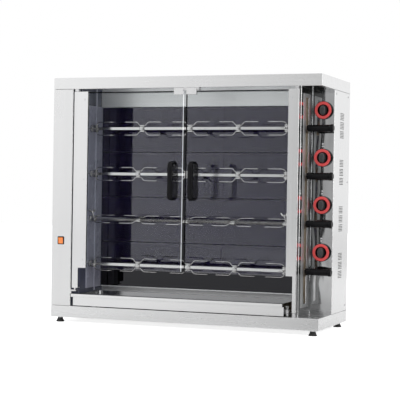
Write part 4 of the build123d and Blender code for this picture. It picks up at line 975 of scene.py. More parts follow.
@dataclass(frozen=True)
class Drive:
    """Motor, chain wheels, the chain that joins them, and their bearings."""

    links: int = 120
    plate_thick: float = 1.1 * MM
    plate_tall: float = 5.6 * MM
    roller_radius: float = 2.2 * MM
    inner_half: float = 2.0 * MM

    def build(self) -> None:
        """Dresses wheels and castings and adds the chain's links."""
        dress(CASTING, "gear_motor", "drive_bearings")
        dress(CHAIN, "motor_sprocket")
        dress(SHAFT, *(f"drive_shaft_{level}" for level in range(1, 5)))
        self.chain()

    def loop(self, share: Array) -> tuple[Array, Array]:
        """Places and directions along the chain's loop, for shares of its length.

        The loop is two upright runs joined by two half circles about the lowest and the highest
        wheel: on a run the place moves with the length, on a half circle with the angle.
        """
        band = space("drive_chain")
        radius = band.size[1] / 2.0 - self.plate_tall / 2.0
        run = band.size[2] - band.size[1]
        low = band.low[2] + band.size[1] / 2.0
        y = band.centre[1]
        total = 2.0 * run + 2.0 * np.pi * radius
        far = share * total
        turn = np.pi * radius
        angle_high = (far - run) / radius
        angle_low = (far - 2.0 * run - turn) / radius
        on_front = far < run
        on_high = (far >= run) & (far < run + turn)
        on_back = (far >= run + turn) & (far < 2.0 * run + turn)
        conditions = [on_front, on_high, on_back]
        across = [-radius, -radius * np.cos(angle_high), radius]
        height = [low + far, low + run + radius * np.sin(angle_high), low + 2.0 * run + turn - far]
        way_y = [0.0, np.sin(angle_high), 0.0]
        way_z = [1.0, np.cos(angle_high), -1.0]
        place = np.stack((
            np.full(len(far), band.centre[0]),
            y + np.select(conditions, across, radius * np.cos(angle_low)),
            np.select(conditions, height, low - radius * np.sin(angle_low)),
        ), axis=1)
        way = np.stack((
            np.zeros(len(far)),
            np.select(conditions, way_y, -np.sin(angle_low)),
            np.select(conditions, way_z, -np.cos(angle_low)),
        ), axis=1)
        return place, way

    def chain(self) -> None:
        """Roller chain: a pair of waisted plates for each link, inner and outer in turn.

        A plate's outline is a half circle at each end, and 0.78 of their radius high between.
        """
        share = (np.arange(self.links) + 0.5) / self.links
        place, way = self.loop(share)
        ahead = self.loop((share + 0.5 / self.links) % 1.0)[0]
        pitch = 2.0 * np.linalg.norm(ahead - place, axis=1).mean()
        shape = Shape()
        half = self.plate_tall / 2.0
        angle = np.linspace(-0.5, 0.5, 4) * np.pi
        right = np.stack((pitch / 2.0 + half * np.cos(angle), half * np.sin(angle)), axis=1)
        waist = np.array(((0.0, 0.78 * half),))
        outline = np.concatenate((right, waist, -right, -waist))
        roller = rounded_section(2.0 * self.roller_radius, 2.0 * self.roller_radius, steps=8)
        for number in range(self.links):
            offset = self.inner_half + (number % 2) * (self.plate_thick + 0.2 * MM)
            up = np.array((1.0, 0.0, 0.0))
            normal = np.cross(up, way[number])
            flat = place[number] + outline[:, :1] * way[number] + outline[:, 1:] * normal
            for side in (-1.0, 1.0):
                levels = np.array((offset, offset + self.plate_thick)) * side
                shape.surface(flat[None] + levels[:, None, None] * up)
            pin = ahead[number] + roller[:, :1] * way[number] + roller[:, 1:] * normal
            levels = np.array((-self.inner_half, self.inner_half))
            shape.surface(pin[None] + levels[:, None, None] * up)
        shape.piece("drive_chain_links", "root", CHAIN, stands_for=("drive_chain",))


@dataclass(frozen=True)
class Spit:
    """One spit with its forks, wing screws and grip."""

    level: int
    turn: float
    bar_half: float = 5.5 * MM
    hub_long: float = 20.0 * MM
    hub_deep: float = 18.0 * MM
    sleeve_tall: float = 19.0 * MM
    lug_tall: float = 7.0 * MM
    lug_high: float = 12.0 * MM
    prong_radius: float = 1.9 * MM
    prong_spread: float = 27.0 * MM
    prong_reach: float = 84.0 * MM
    slant_long: float = 13.0 * MM
    curve_long: float = 20.0 * MM
    screw_reach: float = 55.0 * MM
    screw_radius: float = 2.6 * MM
    wing_spread: float = 12.0 * MM
    grip_radius: float = 14.0 * MM
    grip_end: float = 15.5 * MM
    grip_waist: float = 0.7 * MM

    @property
    def body(self) -> str:
        """Body that the spit's pieces ride on."""
        return f"spit_{self.level}"

    @property
    def axis(self) -> Array:
        """Point on the spit's axis at x zero."""
        return space(f"spit_handle_{self.level}").centre * (0.0, 1.0, 1.0)

    def place(self, points: Array) -> Array:
        """Points drawn about the line y = 0, z = 0, set on the spit's turned axis."""
        return rotated(points, np.zeros(3), self.turn) + self.axis

    def build(self) -> None:
        """Dresses the bar and adds forks, screws and grip."""
        dress(CHROME, f"spit_rod_{self.level}")
        forks = Shape()
        screws = Shape()
        for part in solids(f"spit_forks_{self.level}"):
            long = part.size[0]
            if long > 1.5 * self.prong_reach:
                self.fork(forks, part.centre[0], (-1, 1), False)
            elif long > self.prong_reach / 2.0:
                way = 1 if part.centre[0] < self.middle() else -1
                hub = part.low[0] if way > 0 else part.high[0]
                self.fork(forks, hub + way * self.hub_long / 2.0, (way,), True)
            else:
                self.wing_screw(screws, part.centre[0])
        forks.moved(self.place)
        screws.moved(self.place)
        forks.piece(f"fork_set_{self.level}", self.body, WIRE, stands_for=(f"spit_forks_{self.level}",))
        screws.piece(f"wing_screws_{self.level}", self.body, CHROME)
        self.grip()

    def middle(self) -> float:
        """Half way along the bar."""
        return float(space(f"spit_rod_{self.level}").centre[0])

    def fork(self, shape: Shape, x: float, ways: tuple[int, ...], curved: bool) -> None:
        """Adds a hub of a sleeve between two lugs, with two prongs on each side that has them.

        Args:
            shape: where it is added.
            x: the hub's middle.
            ways: sides with prongs, -1 to the left and 1 to the right.
            curved: whether the prongs leave the hub in a quarter ellipse, not in a slant.
        """
        share = np.array((0.0, 0.0, 0.12, 0.88, 1.0, 1.0))
        size = np.array((0.5, 0.86, 1.0, 1.0, 0.86, 0.5))
        path = np.stack((x + (share - 0.5) * self.hub_long, 0 * share, 0 * share), axis=1)
        path[0, 0] -= 1e-5
        path[-1, 0] += 1e-5
        sleeve = rounded_section(self.hub_deep, self.sleeve_tall, 7.0, 28)
        shape.surface(self.along_x(path, sleeve, size))
        for side in (-1, 1):
            lug = rounded_section(0.78 * self.hub_deep, self.lug_tall, 3.5, 20)
            raised = path + (0.0, 0.0, side * self.lug_high)
            shape.surface(self.along_x(raised, lug, size))
            for way in ways:
                self.prong(shape, x, side, way, curved)

    def along_x(self, path: Array, section: Array, size: Array) -> Array:
        """Section (y, z) times a size at each place of a path along x."""
        zero = np.zeros((len(path), len(section), 1))
        offsets = size[:, None, None] * section[None]
        return path[:, None, :] + np.concatenate((zero, offsets), axis=2)

    def prong(self, shape: Shape, x: float, side: int, way: int, curved: bool) -> None:
        """Adds one prong, whose size falls to a fifth over its last tenth as a square root.

        A curved one follows (a (1 - cos t), b sin t) for a quarter turn, then runs straight.
        """
        start = way * (self.hub_long / 2.0 - 3.0 * MM)
        level = self.lug_high
        end = way * self.prong_reach
        if curved:
            t = np.linspace(0.0, 0.5 * np.pi, 14)
            bow = self.curve_long * (1.0 - np.cos(t))
            rise = level - 4.0 * MM + (self.prong_spread - level + 4.0 * MM) * np.sin(t)
            flat = np.stack((start / 3.0 + way * bow, rise), axis=1)
            flat = np.concatenate((flat, ((end * 0.9, self.prong_spread), (end, self.prong_spread))))
        else:
            corners = (
                (start, level),
                (start + way * 5.0 * MM, level),
                (start + way * (5.0 * MM + self.slant_long), self.prong_spread),
                (end * 0.9, self.prong_spread),
                (end, self.prong_spread),
            )
            flat = bent_path(np.array(corners), 5.0 * MM)
        path = np.stack((x + flat[:, 0], 0 * flat[:, 0], side * flat[:, 1]), axis=1)
        left = (end - flat[:, 0]) / (0.1 * end)
        size = np.clip(left, 0.0, 1.0) ** 0.5 * 0.8 + 0.2
        section = rounded_section(2.0 * self.prong_radius, 2.0 * self.prong_radius, steps=12)
        shape.surface(swept(path, section, (0, 1, 0), size))

    def wing_screw(self, shape: Shape, x: float) -> None:
        """Adds a screw on the bar's front face, with a boss and two wings spread like a V.

        The threaded stem's radius is r (0.94 + 0.06 cos 2 pi n s). A wing is an ellipse carried
        along a quadratic curve from the boss outwards, at size 0.45 + 0.75 sin(pi s)^0.8.
        """
        tip = -self.screw_reach
        boss = tip + 24.0 * MM
        turns = np.linspace(0.0, 1.0, 85)
        thread = self.screw_radius * (0.94 + 0.06 * np.cos(2.0 * np.pi * 14.0 * turns))
        stem = np.stack((-self.bar_half + turns * (boss + self.bar_half), thread), axis=1)
        origin = np.array((x, 0.0, 0.0))
        shape.surface(turned(stem * (-1.0, 1.0), origin, (0, -1, 0), 14))
        body = np.array(((0.0, 3.4), (1.0, 4.6), (9.0, 4.2), (12.0, 3.0), (13.0, 1.2))) * MM
        shape.surface(turned(body, origin + (0, boss + 2.0 * MM, 0), (0, -1, 0), 20))
        share = np.linspace(0.0, 1.0, 13)[:, None]
        section = rounded_section(8.0 * MM, 2.6 * MM, 2.6, 14)
        for side in (-1.0, 1.0):
            root = np.array((x + side * 2.0 * MM, boss - 3.0 * MM, 0.0))
            bend = np.array((x + side * self.wing_spread * 0.9, boss - 4.0 * MM, 0.0))
            end = np.array((x + side * self.wing_spread, tip + 4.5 * MM, 0.0))
            path = (1 - share) ** 2 * root + 2 * share * (1 - share) * bend + share**2 * end
            size = 0.45 + 0.75 * np.sin(np.pi * share[:, 0]) ** 0.8
            shape.surface(swept(path, section, (0, 0, 1), size))

    def grip(self) -> None:
        """Black grip: a cone, a barrel waisted by w sin(pi s), a groove and a wider end."""
        node = f"spit_handle_{self.level}"
        box = space(node)
        long = box.size[0]
        share = np.linspace(0.0, 1.0, 24)
        waisted = self.grip_radius - self.grip_waist * np.sin(np.pi * share)
        barrel = np.stack((7.0 * MM + share * (long - 24.0 * MM), waisted), axis=1)
        cone = np.array(((0.0, 0.62), (0.4 * MM, 0.70), (3.5 * MM, 0.86), (6.0 * MM, 0.97)))
        cone *= (1.0, self.grip_radius)
        end = np.array(
            (
                (long - 15.5 * MM, self.grip_radius - 0.9 * MM),
                (long - 14.0 * MM, self.grip_radius - 0.9 * MM),
                (long - 12.5 * MM, self.grip_end - 0.6 * MM),
                (long - 11.0 * MM, self.grip_end),
                (long - 3.5 * MM, self.grip_end),
                (long - 1.2 * MM, self.grip_end - 0.9 * MM),
                (long - 0.2 * MM, self.grip_end - 3.2 * MM),
                (long - 0.2 * MM, self.grip_end - 6.0 * MM),
                (long - 1.6 * MM, self.grip_end - 7.5 * MM),
                (long - 1.9 * MM, 1.0 * MM),
            )
        )
        origin = np.array((box.low[0], box.centre[1], box.centre[2]))
        profile = np.concatenate((cone, barrel, end))
        shape = Shape().surface(turned(profile, origin, (1, 0, 0), 48))
        shape.piece(f"spit_grip_{self.level}", self.body, SATIN_BLACK, stands_for=(node,))


@dataclass(frozen=True)
class Door:
    """One glass door with its stile, handle and fittings."""

    side: Side
    handle_wide: float = 21.0 * MM
    handle_thick: float = 16.0 * MM
    bend: float = 19.0 * MM
    foot_long: float = 4.0 * MM
    flare: float = 0.05
    flare_fade: float = 5.0 * MM
    plate_wide: float = 40.0 * MM
    plate_thick: float = 1.6 * MM

    def build(self) -> None:
        """Dresses glass and steel and adds the handle."""
        name = self.side.value
        pane = space(f"{name}_door_glass")
        sides = {"left": float(pane.low[0]), "right": float(pane.high[0]), "top": float(pane.high[2])}
        glass = ClearGlass(f"{name}_pane", Slot.GLASS, **sides)
        dress(glass, f"{name}_door_glass")
        dress(STILE_STEEL, f"{name}_door_stile", f"{name}_door_fittings")
        self.handle()
        self.plate()

    def handle(self) -> None:
        """Moulded bow handle: a superellipse carried along a bow, with feet that flare.

        The section's size is 1 + f exp(-d / e) at a distance d before the glass, where f is
        flare and e is flare_fade. Mirror rays don't show the handle.
        """
        box = space(f"{self.side.value}_door_handle")
        half = box.size[2] / 2.0 - self.handle_thick / 2.0
        x, z = box.centre[0], box.centre[2]
        out = box.low[1] + self.handle_thick / 2.0
        back = box.high[1]
        lead = back - self.foot_long
        corners = ((back, -half), (lead, -half), (out, -half), (out, half), (lead, half), (back, half))
        flat = bent_path(np.array(corners), self.bend, 15)
        path = np.stack((np.full(len(flat), x), flat[:, 0], z + flat[:, 1]), axis=1)
        section = rounded_section(self.handle_thick, self.handle_wide, 3.5, 32)
        size = 1.0 + self.flare * np.exp(-(back - flat[:, 0]) / self.flare_fade)
        shape = Shape().surface(swept(path, section, (1, 0, 0), size))
        name = self.side.value
        made = shape.piece(
            f"{name}_bow_handle", f"{name}_door", SATIN_BLACK, stands_for=(f"{name}_door_handle",),
        )
        made.visible_glossy = False

    def plate(self) -> None:
        """Dark see-through oblong plate on the glass behind the bow, a painted reflection of the bow: a rim
        of two half circles.

        The rim's point at angle a is (w/2 cos a, w/2 sin a + straight half length), mirrored
        below, drawn at 1 and at 0.97 of its size for the rounded front edge. Neither mirror rays
        nor rays through glass show the plate.
        """
        box = space(f"{self.side.value}_door_handle")
        half = self.plate_wide / 2.0
        straight = box.size[2] / 2.0 - half
        angle = np.linspace(0.0, np.pi, 17)
        top = np.stack((half * np.cos(angle), half * np.sin(angle) + straight), axis=1)
        rim = np.concatenate((top, -top))
        back = box.high[1]
        rings = []
        for out, size in ((0.0, 1.0), (0.6, 1.0), (1.0, 0.97)):
            depth = np.full(len(rim), back - out * self.plate_thick)
            across, upright = box.centre[0] + size * rim[:, 0], box.centre[2] + size * rim[:, 1]
            rings.append(np.stack((across, depth, upright), axis=1))
        name = self.side.value
        made = Shape().surface(np.stack(rings)).piece(f"{name}_handle_reflection_plate", f"{name}_door", HANDLE_REFLECTION)
        made.visible_glossy = False
        made.visible_transmission = False


@dataclass(frozen=True)
class Drawer:
    """Drip tray with its front, and the tap that drains it."""

    valve_radius: float = 9.0 * MM
    valve_waist: float = 0.12
    spout_long: float = 17.0 * MM
    lever_long: float = 26.0 * MM
    arm_share: float = 0.69
    arm_drop: float = 2.6 * MM
    hub_back: float = 6.5 * MM

    def build(self) -> None:
        """Dresses the tray and adds the tap."""
        dress(TRAY_STEEL, "drip_tray")
        dress(APRON_STEEL, "tray_front")
        self.tap()
        self.lever()

    def tap(self) -> None:
        """Plug valve: a body across, a flange and nozzle, a spout and a boss.

        The body's radius at share s from its middle is r (1 - w s^6), where w is valve_waist.
        """
        box = space("drain_tap")
        lever = space("tap_lever")
        x, z = lever.centre[0], box.low[2] + self.spout_long
        y = box.centre[1]
        centre = np.array((x, y, z))
        share = np.linspace(-1.0, 1.0, 15)
        body = np.stack((share * 11.0 * MM, self.valve_radius * (1.0 - self.valve_waist * share**6)), axis=1)
        shape = Shape().surface(turned(body, centre, (0, 1, 0), 28))
        reach = (x - box.low[0]) / MM
        nozzle = np.array(
            ((reach, 4.6), (12.0, 4.6), (11.8, 10.6), (10.2, 10.6), (10.0, 5.4), (4.0, 6.5)),
        )
        shape.surface(turned(nozzle * MM, centre, (-1, 0, 0), 24))
        spout = np.array(((0.0, 6.2), (9.0, 6.2), (12.0, 5.6), (17.0, 5.6), (17.0, 4.2), (10.0, 4.0))) * MM
        shape.surface(turned(spout, centre, (0, 0, -1), 24))
        boss = np.array(((0.0, 6.2), (11.0, 6.2), (14.9, 5.4), (14.9, 2.0))) * MM
        shape.surface(turned(boss, centre, (0, 0, 1), 24))
        shape.piece("drain_valve", "drip_tray", ZINC, stands_for=("drain_tap",))

    def lever(self) -> None:
        """Lever: a domed hub with its stem, and an arm that widens to a rounded end.

        The arm's size at share s is (0.85 + 0.35 s) sqrt(1 - q^2), where q is (s - 0.82) / 0.181
        and at least 0.
        """
        box = space("tap_lever")
        x = box.centre[0]
        hub_y = box.high[1] - self.hub_back
        top = box.high[2]
        centre = np.array((x, hub_y, top))
        hub = np.array(
            ((0.2, 0.8), (0.3, 3.0), (1.2, 5.4), (2.4, 6.4), (7.0, 6.4), (7.0, 3.0), (15.4, 3.0)),
        )
        shape = Shape().surface(turned(hub * MM, centre, (0, 0, -1), 24))
        share = np.linspace(0.0, 1.0, 16)
        depth = hub_y - share * self.lever_long * self.arm_share
        path = np.stack((np.full(16, x), depth, np.full(16, top - self.arm_drop)), axis=1)
        rounding = np.clip((share - 0.82) / 0.181, 0, 1)
        size = (0.85 + 0.35 * share) * np.sqrt(np.clip(1.0 - rounding**2, 0.02, 1.0))
        section = rounded_section(7.6 * MM, 3.8 * MM, 2.6, 16)
        offsets = (size[:, None] * section[:, 0], np.zeros((16, 16)), section[:, 1] * size[:, None])
        shape.surface(path[:, None, :] + np.stack(offsets, axis=2))
        shape.piece("valve_lever", "tap_lever", ZINC, stands_for=("tap_lever",))


@dataclass(frozen=True)
class RockerFace:
    """Where the rocker's face lies before it is tilted about its pivot, with its angles."""

    depth: float
    pivot: float
    slope: float = 8.0
    tilt: float = 8.0


@dataclass(frozen=True)
class Controls:
    """Heat knobs with their rings and regulators, and the rocker switch."""

    knob_radius: float = 36.0 * MM
    hollow: float = 22.5 * MM
    ring_thick: float = 1.5 * MM
    skirt_deep: float = 14.5 * MM
    skirt_back: float = 13.5 * MM
    flute_deep: float = 0.012
    flute_points: int = 4
    grip_wide: float = 24.0 * MM
    grip_tall: float = 41.0 * MM
    grip_root: float = 8.0 * MM
    spindle_radius: float = 3.0 * MM
    pivot_deep: float = 7.0 * MM
    face_sunk: float = 0.2 * MM

    def build(self) -> None:
        """Dresses the housings and adds knobs and rocker."""
        dress(CASTING, "regulators")
        dress(MATT_BLACK, "switch_bezel")
        for level in range(1, 5):
            self.knob(level)
        self.rocker()

    def knob(self, level: int) -> None:
        """Adds one knob: a fluted skirt, a dished middle with a grip bar, and the red ring.

        The skirt's radius is R (1 - d (0.5 + 0.5 cos)) with a flute at every flute_points points.
        """
        box = space(f"knob_{level}")
        body = f"knob_{level}"
        x, z = box.centre[0], box.centre[2]
        front = box.low[1] + self.skirt_back
        back = front + self.skirt_deep
        centre = np.array((x, front, z))
        outer = self.knob_radius
        profile = np.array(
            (
                (self.skirt_deep, self.spindle_radius),
                (self.skirt_deep, outer - 1.0 * MM),
                (self.skirt_deep - 1.0 * MM, outer),
                (2.6 * MM, outer),
                (1.2 * MM, outer - 0.4 * MM),
                (0.4 * MM, outer - 1.3 * MM),
                (self.ring_thick, outer - 1.6 * MM),
                (self.ring_thick, self.hollow),
                (3.0 * MM, self.hollow - 0.8 * MM),
                (6.2 * MM, self.hollow - 2.4 * MM),
                (7.5 * MM, self.hollow - 5.0 * MM),
                (7.5 * MM, 1.0 * MM),
            )
        )
        grid = turned(profile, centre, (0, 1, 0), 96)
        wave = 0.5 + 0.5 * np.cos(np.arange(96) * 2.0 * np.pi / self.flute_points)
        flute = 1.0 - self.flute_deep * wave
        for row in (1, 2, 3):
            spokes = (grid[row] - centre) * (1, 0, 1) * flute[:, None]
            grid[row] = (x, grid[row][0, 1], z) + spokes
        shape = Shape().surface(grid)
        share = np.array((0.0, 0.03, 0.5, 0.8, 0.93, 0.985, 1.0, 1.0))
        size = np.array((1.08, 1.02, 0.97, 0.94, 0.88, 0.78, 0.6, 0.2))
        root = front + self.grip_root
        deep = root - share * (root - box.low[1])
        section = rounded_section(self.grip_wide, self.grip_tall, 2.4, 40)
        across, upright = size[:, None] * section[:, 0], size[:, None] * section[:, 1]
        rings = np.stack((x + across, deep[:, None] + 0 * across, z + upright), axis=2)
        shape.surface(rings, mark=1)
        shape.piece(f"knob_body_{level}", body, SATIN_BLACK, KNOB_GRIP, stands_for=(f"knob_{level}",))
        ring = np.array(
            (
                (self.ring_thick, self.hollow + 0.2 * MM),
                (0.5 * MM, self.hollow + 0.3 * MM),
                (0.1 * MM, self.hollow + 1.2 * MM),
                (-0.2 * MM, 0.5 * (self.hollow + outer)),
                (0.1 * MM, outer - 2.9 * MM),
                (0.5 * MM, outer - 1.9 * MM),
                (self.ring_thick, outer - 1.8 * MM),
            )
        )
        band = Shape().surface(turned(np.concatenate((ring, ring[:1])), centre, (0, 1, 0), 72), caps=False)
        band.piece(f"knob_ring_{level}", body, RED)
        rod = np.array(((0.0, self.spindle_radius), (box.high[1] - back, self.spindle_radius)))
        Shape().surface(turned(rod, (x, back, z), (0, 1, 0), 16)).piece(f"knob_spindle_{level}", body, ZINC)

    def rocker(self) -> None:
        """Rocker with a hollowed face, drawn across in x with rounded ends.

        The face's depth over the height share s from -1 to 1 is that of two planes that meet in
        a valley eased by sqrt(s^2 + 0.01), and the whole is tilted as its solid is.
        """
        box = space("switch_rocker")
        x, z = box.centre[0], box.centre[2]
        half = box.size[2] / 2.0
        face = self.face(box)
        share = np.linspace(-0.97, 0.97, 17)
        valley = np.sqrt(share**2 + 0.01) * half * math.tan(math.radians(face.slope))
        front = np.stack((face.depth - valley, share * half), axis=1)
        rear = np.array(((box.high[1] - 1.0 * MM, 0.9 * half), (box.high[1] - 1.0 * MM, -0.9 * half)))
        section = np.concatenate((front, rear))
        across = np.array((-1.0, -0.97, -0.9, 0.9, 0.97, 1.0)) * box.size[0] / 2.0
        shrink = np.array((0.9, 0.97, 1.0, 1.0, 0.97, 0.9))
        middle = section.mean(axis=0)
        rings = middle + shrink[:, None, None] * (section - middle)[None]
        wide = np.broadcast_to(x + across[:, None, None], rings.shape[:2] + (1,))
        grid = np.concatenate((wide, rings[..., :1], z + rings[..., 1:]), axis=2)
        pivot = np.array((x, face.pivot, z))
        shape = Shape().surface(rotated(grid, pivot, face.tilt))
        shape.piece("rocker_button", "rocker", ORANGE, stands_for=("switch_rocker",))

    def face(self, box: Space) -> RockerFace:
        """The rocker's face, from its solid's box: the proudest edge is the tilted lower one."""
        half = box.size[2] / 2.0
        pivot = box.high[1] - self.pivot_deep
        depth = box.low[1] + 2.0 * half * math.tan(math.radians(RockerFace.slope)) + self.face_sunk
        return RockerFace(depth=float(depth), pivot=float(pivot))


# Studio


@dataclass(frozen=True)
class Studio:
    """Pale floor and surroundings, soft lamps, and the camera at the photograph's angle."""

    camera_place: tuple[float, float, float] = (1.8735, -4.8910, 0.5544)
    yaw: float = 20.99
    pitch: float = -0.43
    roll: float = 0.93
    focal_pixels: float = 1266.5
    frame_pixels: float = 400.0
    sensor: float = 36.0
    floor_half: float = 12.0
    floor_grey: float = 0.86
    floor_deep: float = 0.02
    floor_glow: float = 0.8
    mirrored_over: tuple[float, float] = (-1.0, 2.5)
    mirrored_glow: float = 0.2
    aside_way: tuple[float, float] = (0.965, 0.26)
    slow_over: tuple[float, float] = (-0.8, 0.7)
    slow_dark: float = 0.5
    near_over: tuple[float, float] = (0.2, 0.5)
    near_dark: float = 0.75
    front_over: tuple[float, float] = (-0.45, -0.25)
    lamp_power: float = 40.0
    world_light: float = 0.62
    screen_depth: float = -6.5
    screen_wide: tuple[float, float] = (-9.0, 11.0)
    screen_tall: float = 4.4
    screen_centre: tuple[float, float] = (2.3, 0.5)
    screen_flat: float = 1.7
    screen_rise: tuple[float, float] = (0.9, 6.5)
    screen_light: tuple[float, float] = (0.10, 1.10)
    shade_rise: tuple[float, float] = (0.7, 3.0)
    shade_deep: float = 0.15
    strip_place: tuple[float, float, float] = (4.2, -2.6, 1.0)
    strip_half: tuple[float, float] = (1.0, 1.6)
    strip_light: float = 3.0

    def build(self) -> None:
        """Makes the world, floor, lamps and camera."""
        view = bpy.context.scene.view_settings
        view.view_transform = "Standard"
        self.world()
        self.floor()
        self.screen()
        self.strip()
        self.lamps()
        self.camera()

    def world(self) -> None:
        """White where a camera, glossy or transmitted ray sees it, dimmer light elsewhere."""
        world = bpy.data.worlds.new("studio_world")
        world.use_nodes = True
        world.node_tree.nodes.clear()
        tree = Tree(world.node_tree)
        seen = self.seen(tree)
        strength = tree.remap(seen, (0.0, 1.0), (self.world_light, 1.0))
        shader = tree.add("ShaderNodeBackground", {"Color": rgba((1.0, 1.0, 1.0)), "Strength": strength})
        tree.add("ShaderNodeOutputWorld", {"Surface": shader.outputs[0]})
        bpy.context.scene.world = world

    def seen(self, tree: Tree) -> bpy.types.NodeSocket:
        """One for camera, glossy and transmitted rays, else zero."""
        path = tree.add("ShaderNodeLightPath").outputs
        seen = tree.sum("MAXIMUM", path["Is Camera Ray"], path["Is Glossy Ray"])
        return tree.sum("MAXIMUM", seen, path["Is Transmission Ray"])

    def stand(
        self, name: str, mesh: bpy.types.Mesh, material: bpy.types.Material, *hidden: str,
    ) -> bpy.types.Object:
        """Links a mesh into the scene.

        Args:
            name: the object's name.
            mesh: its mesh.
            material: its material.
            hidden: kinds of rays that don't see it.
        """
        mesh.materials.append(material)
        made = bpy.data.objects.new(name, mesh)
        for ray in hidden:
            setattr(made, f"visible_{ray}", False)
        bpy.context.scene.collection.objects.link(made)
        return made

    def glowing(self, name: str) -> tuple[bpy.types.Material, Tree, bpy.types.Node]:
        """A material that only glows white, with its tree and its emission shader."""
        material = bpy.data.materials.new(name)
        material.use_nodes = True
        material.node_tree.nodes.clear()
        tree = Tree(material.node_tree)
        shader = tree.add("ShaderNodeEmission", {"Color": rgba((1.0, 1.0, 1.0))})
        tree.add("ShaderNodeOutputMaterial", {"Surface": shader.outputs[0]})
        return material, tree, shader

    def floor(self) -> None:
        """Matt pale floor that keeps the machine's shadow.

        It glows for rays from the camera and through glass, and for mirror rays a little, more
        towards the back. Its grey is floor_deep for rays through glass. For mirror rays it nears
        that in front of the machine by the share 1 - (1 - s) (1 - n), where s and n grow over
        slow_over and near_over of a x + b y, the way to the right, with aside_way as (a, b).
        """
        steps = np.linspace(-self.floor_half, self.floor_half, 9)
        x, y = np.meshgrid(steps, steps, indexing="ij")
        grid = np.stack((x, y, np.zeros_like(x)), axis=2)
        index = np.arange(81).reshape(9, 9)
        quads = np.stack((index[:-1, :-1], index[1:, :-1], index[1:, 1:], index[:-1, 1:]), axis=2)
        mesh = bpy.data.meshes.new("studio_floor")
        mesh.from_pydata(grid.reshape(-1, 3).tolist(), [], quads.reshape(-1, 4).tolist())
        material = bpy.data.materials.new("studio_floor")
        material.use_nodes = True
        tree = Tree(material.node_tree)
        shader = material.node_tree.nodes["Principled BSDF"]
        shader.inputs["Roughness"].default_value = 0.9
        shader.inputs["Specular IOR Level"].default_value = 0.1
        shader.inputs["Emission Color"].default_value = rgba((1.0, 1.0, 1.0))
        path = tree.add("ShaderNodeLightPath").outputs
        direct = tree.sum("MAXIMUM", path["Is Camera Ray"], path["Is Transmission Ray"])
        glossy = path["Is Glossy Ray"]
        split = tree.add("ShaderNodeSeparateXYZ", {0: tree.place()}).outputs
        right, back = (tree.sum("MULTIPLY", split[k], way) for k, way in zip("XY", self.aside_way))
        aside = tree.sum("ADD", right, back)
        slow = tree.remap(aside, self.slow_over, (0.0, self.slow_dark))
        near = tree.remap(aside, self.near_over, (0.0, self.near_dark))
        left = tree.sum("MULTIPLY", tree.sum("SUBTRACT", 1.0, slow), tree.sum("SUBTRACT", 1.0, near))
        dark = tree.sum("SUBTRACT", 1.0, left)
        front = tree.sum("MULTIPLY", glossy, tree.remap(split["Y"], self.front_over, (1.0, 0.0)))
        share = tree.sum("MAXIMUM", tree.sum("MULTIPLY", front, dark), path["Is Transmission Ray"])
        pale, deep = (rgba((grey, grey, grey)) for grey in (self.floor_grey, self.floor_deep))
        tree.feed(shader.inputs["Base Color"], tree.mix(share, pale, deep))
        far = tree.remap(split["Y"], self.mirrored_over, (0.0, self.mirrored_glow))
        mirrored = tree.sum("MULTIPLY", glossy, far)
        glow = tree.sum("ADD", tree.sum("MULTIPLY", direct, self.floor_glow), mirrored)
        tree.feed(shader.inputs["Emission Strength"], glow)
        floor = self.stand("studio_floor", mesh, material)

    def screen(self) -> None:
        """Dim screen behind the camera, for the dark room that polished steel shows.

        It is hidden from the camera, from matt surfaces and from shadow rays.
        Its brightness grows evenly over screen_rise with the distance sqrt(x^2 + (f z)^2) from
        the middle, where f is screen_flat, and falls to shade_deep of that inside shade_rise.
        """
        low, high = self.screen_wide
        x, z = np.meshgrid(np.linspace(low, high, 9), np.linspace(0.0, self.screen_tall, 5), indexing="ij")
        grid = np.stack((x, np.full_like(x, self.screen_depth), z), axis=2)
        index = np.arange(45).reshape(9, 5)
        quads = np.stack((index[:-1, :-1], index[:-1, 1:], index[1:, 1:], index[1:, :-1]), axis=2)
        mesh = bpy.data.meshes.new("dim_screen")
        mesh.from_pydata(grid.reshape(-1, 3).tolist(), [], quads.reshape(-1, 4).tolist())
        material, tree, shader = self.glowing("dim_screen")
        middle = (self.screen_centre[0], self.screen_depth, self.screen_centre[1])
        away = tree.vector("SUBTRACT", tree.place(), middle).outputs[0]
        flat = tree.vector("MULTIPLY", away, (1.0, 0.0, self.screen_flat)).outputs[0]
        far = tree.vector("LENGTH", flat, (0.0, 0.0, 0.0)).outputs["Value"]
        strength = tree.remap(far, self.screen_rise, self.screen_light)
        shade = tree.remap(far, self.shade_rise, (self.shade_deep, 1.0))
        tree.feed(shader.inputs["Strength"], tree.sum("MULTIPLY", strength, shade))
        screen = self.stand("dim_screen", mesh, material, "camera", "diffuse", "shadow")

    def strip(self) -> None:
        """Tall bright strip to the right, seen only in polished surfaces, for their highlights."""
        centre = np.array(self.strip_place)
        axes = np.array(looking(centre, np.array((0.0, 0.0, 0.6))))
        wide, tall = (axes[:3, side] * half for side, half in zip((0, 1), self.strip_half))
        corners = [centre - wide - tall, centre + wide - tall, centre + wide + tall, centre - wide + tall]
        mesh = bpy.data.meshes.new("bright_strip")
        mesh.from_pydata(np.array(corners).tolist(), [], [(0, 1, 2, 3)])
        material, tree, shader = self.glowing("bright_strip")
        tree.feed(shader.inputs["Strength"], self.strip_light)
        strip = self.stand("bright_strip", mesh, material, "camera", "diffuse", "transmission", "shadow")

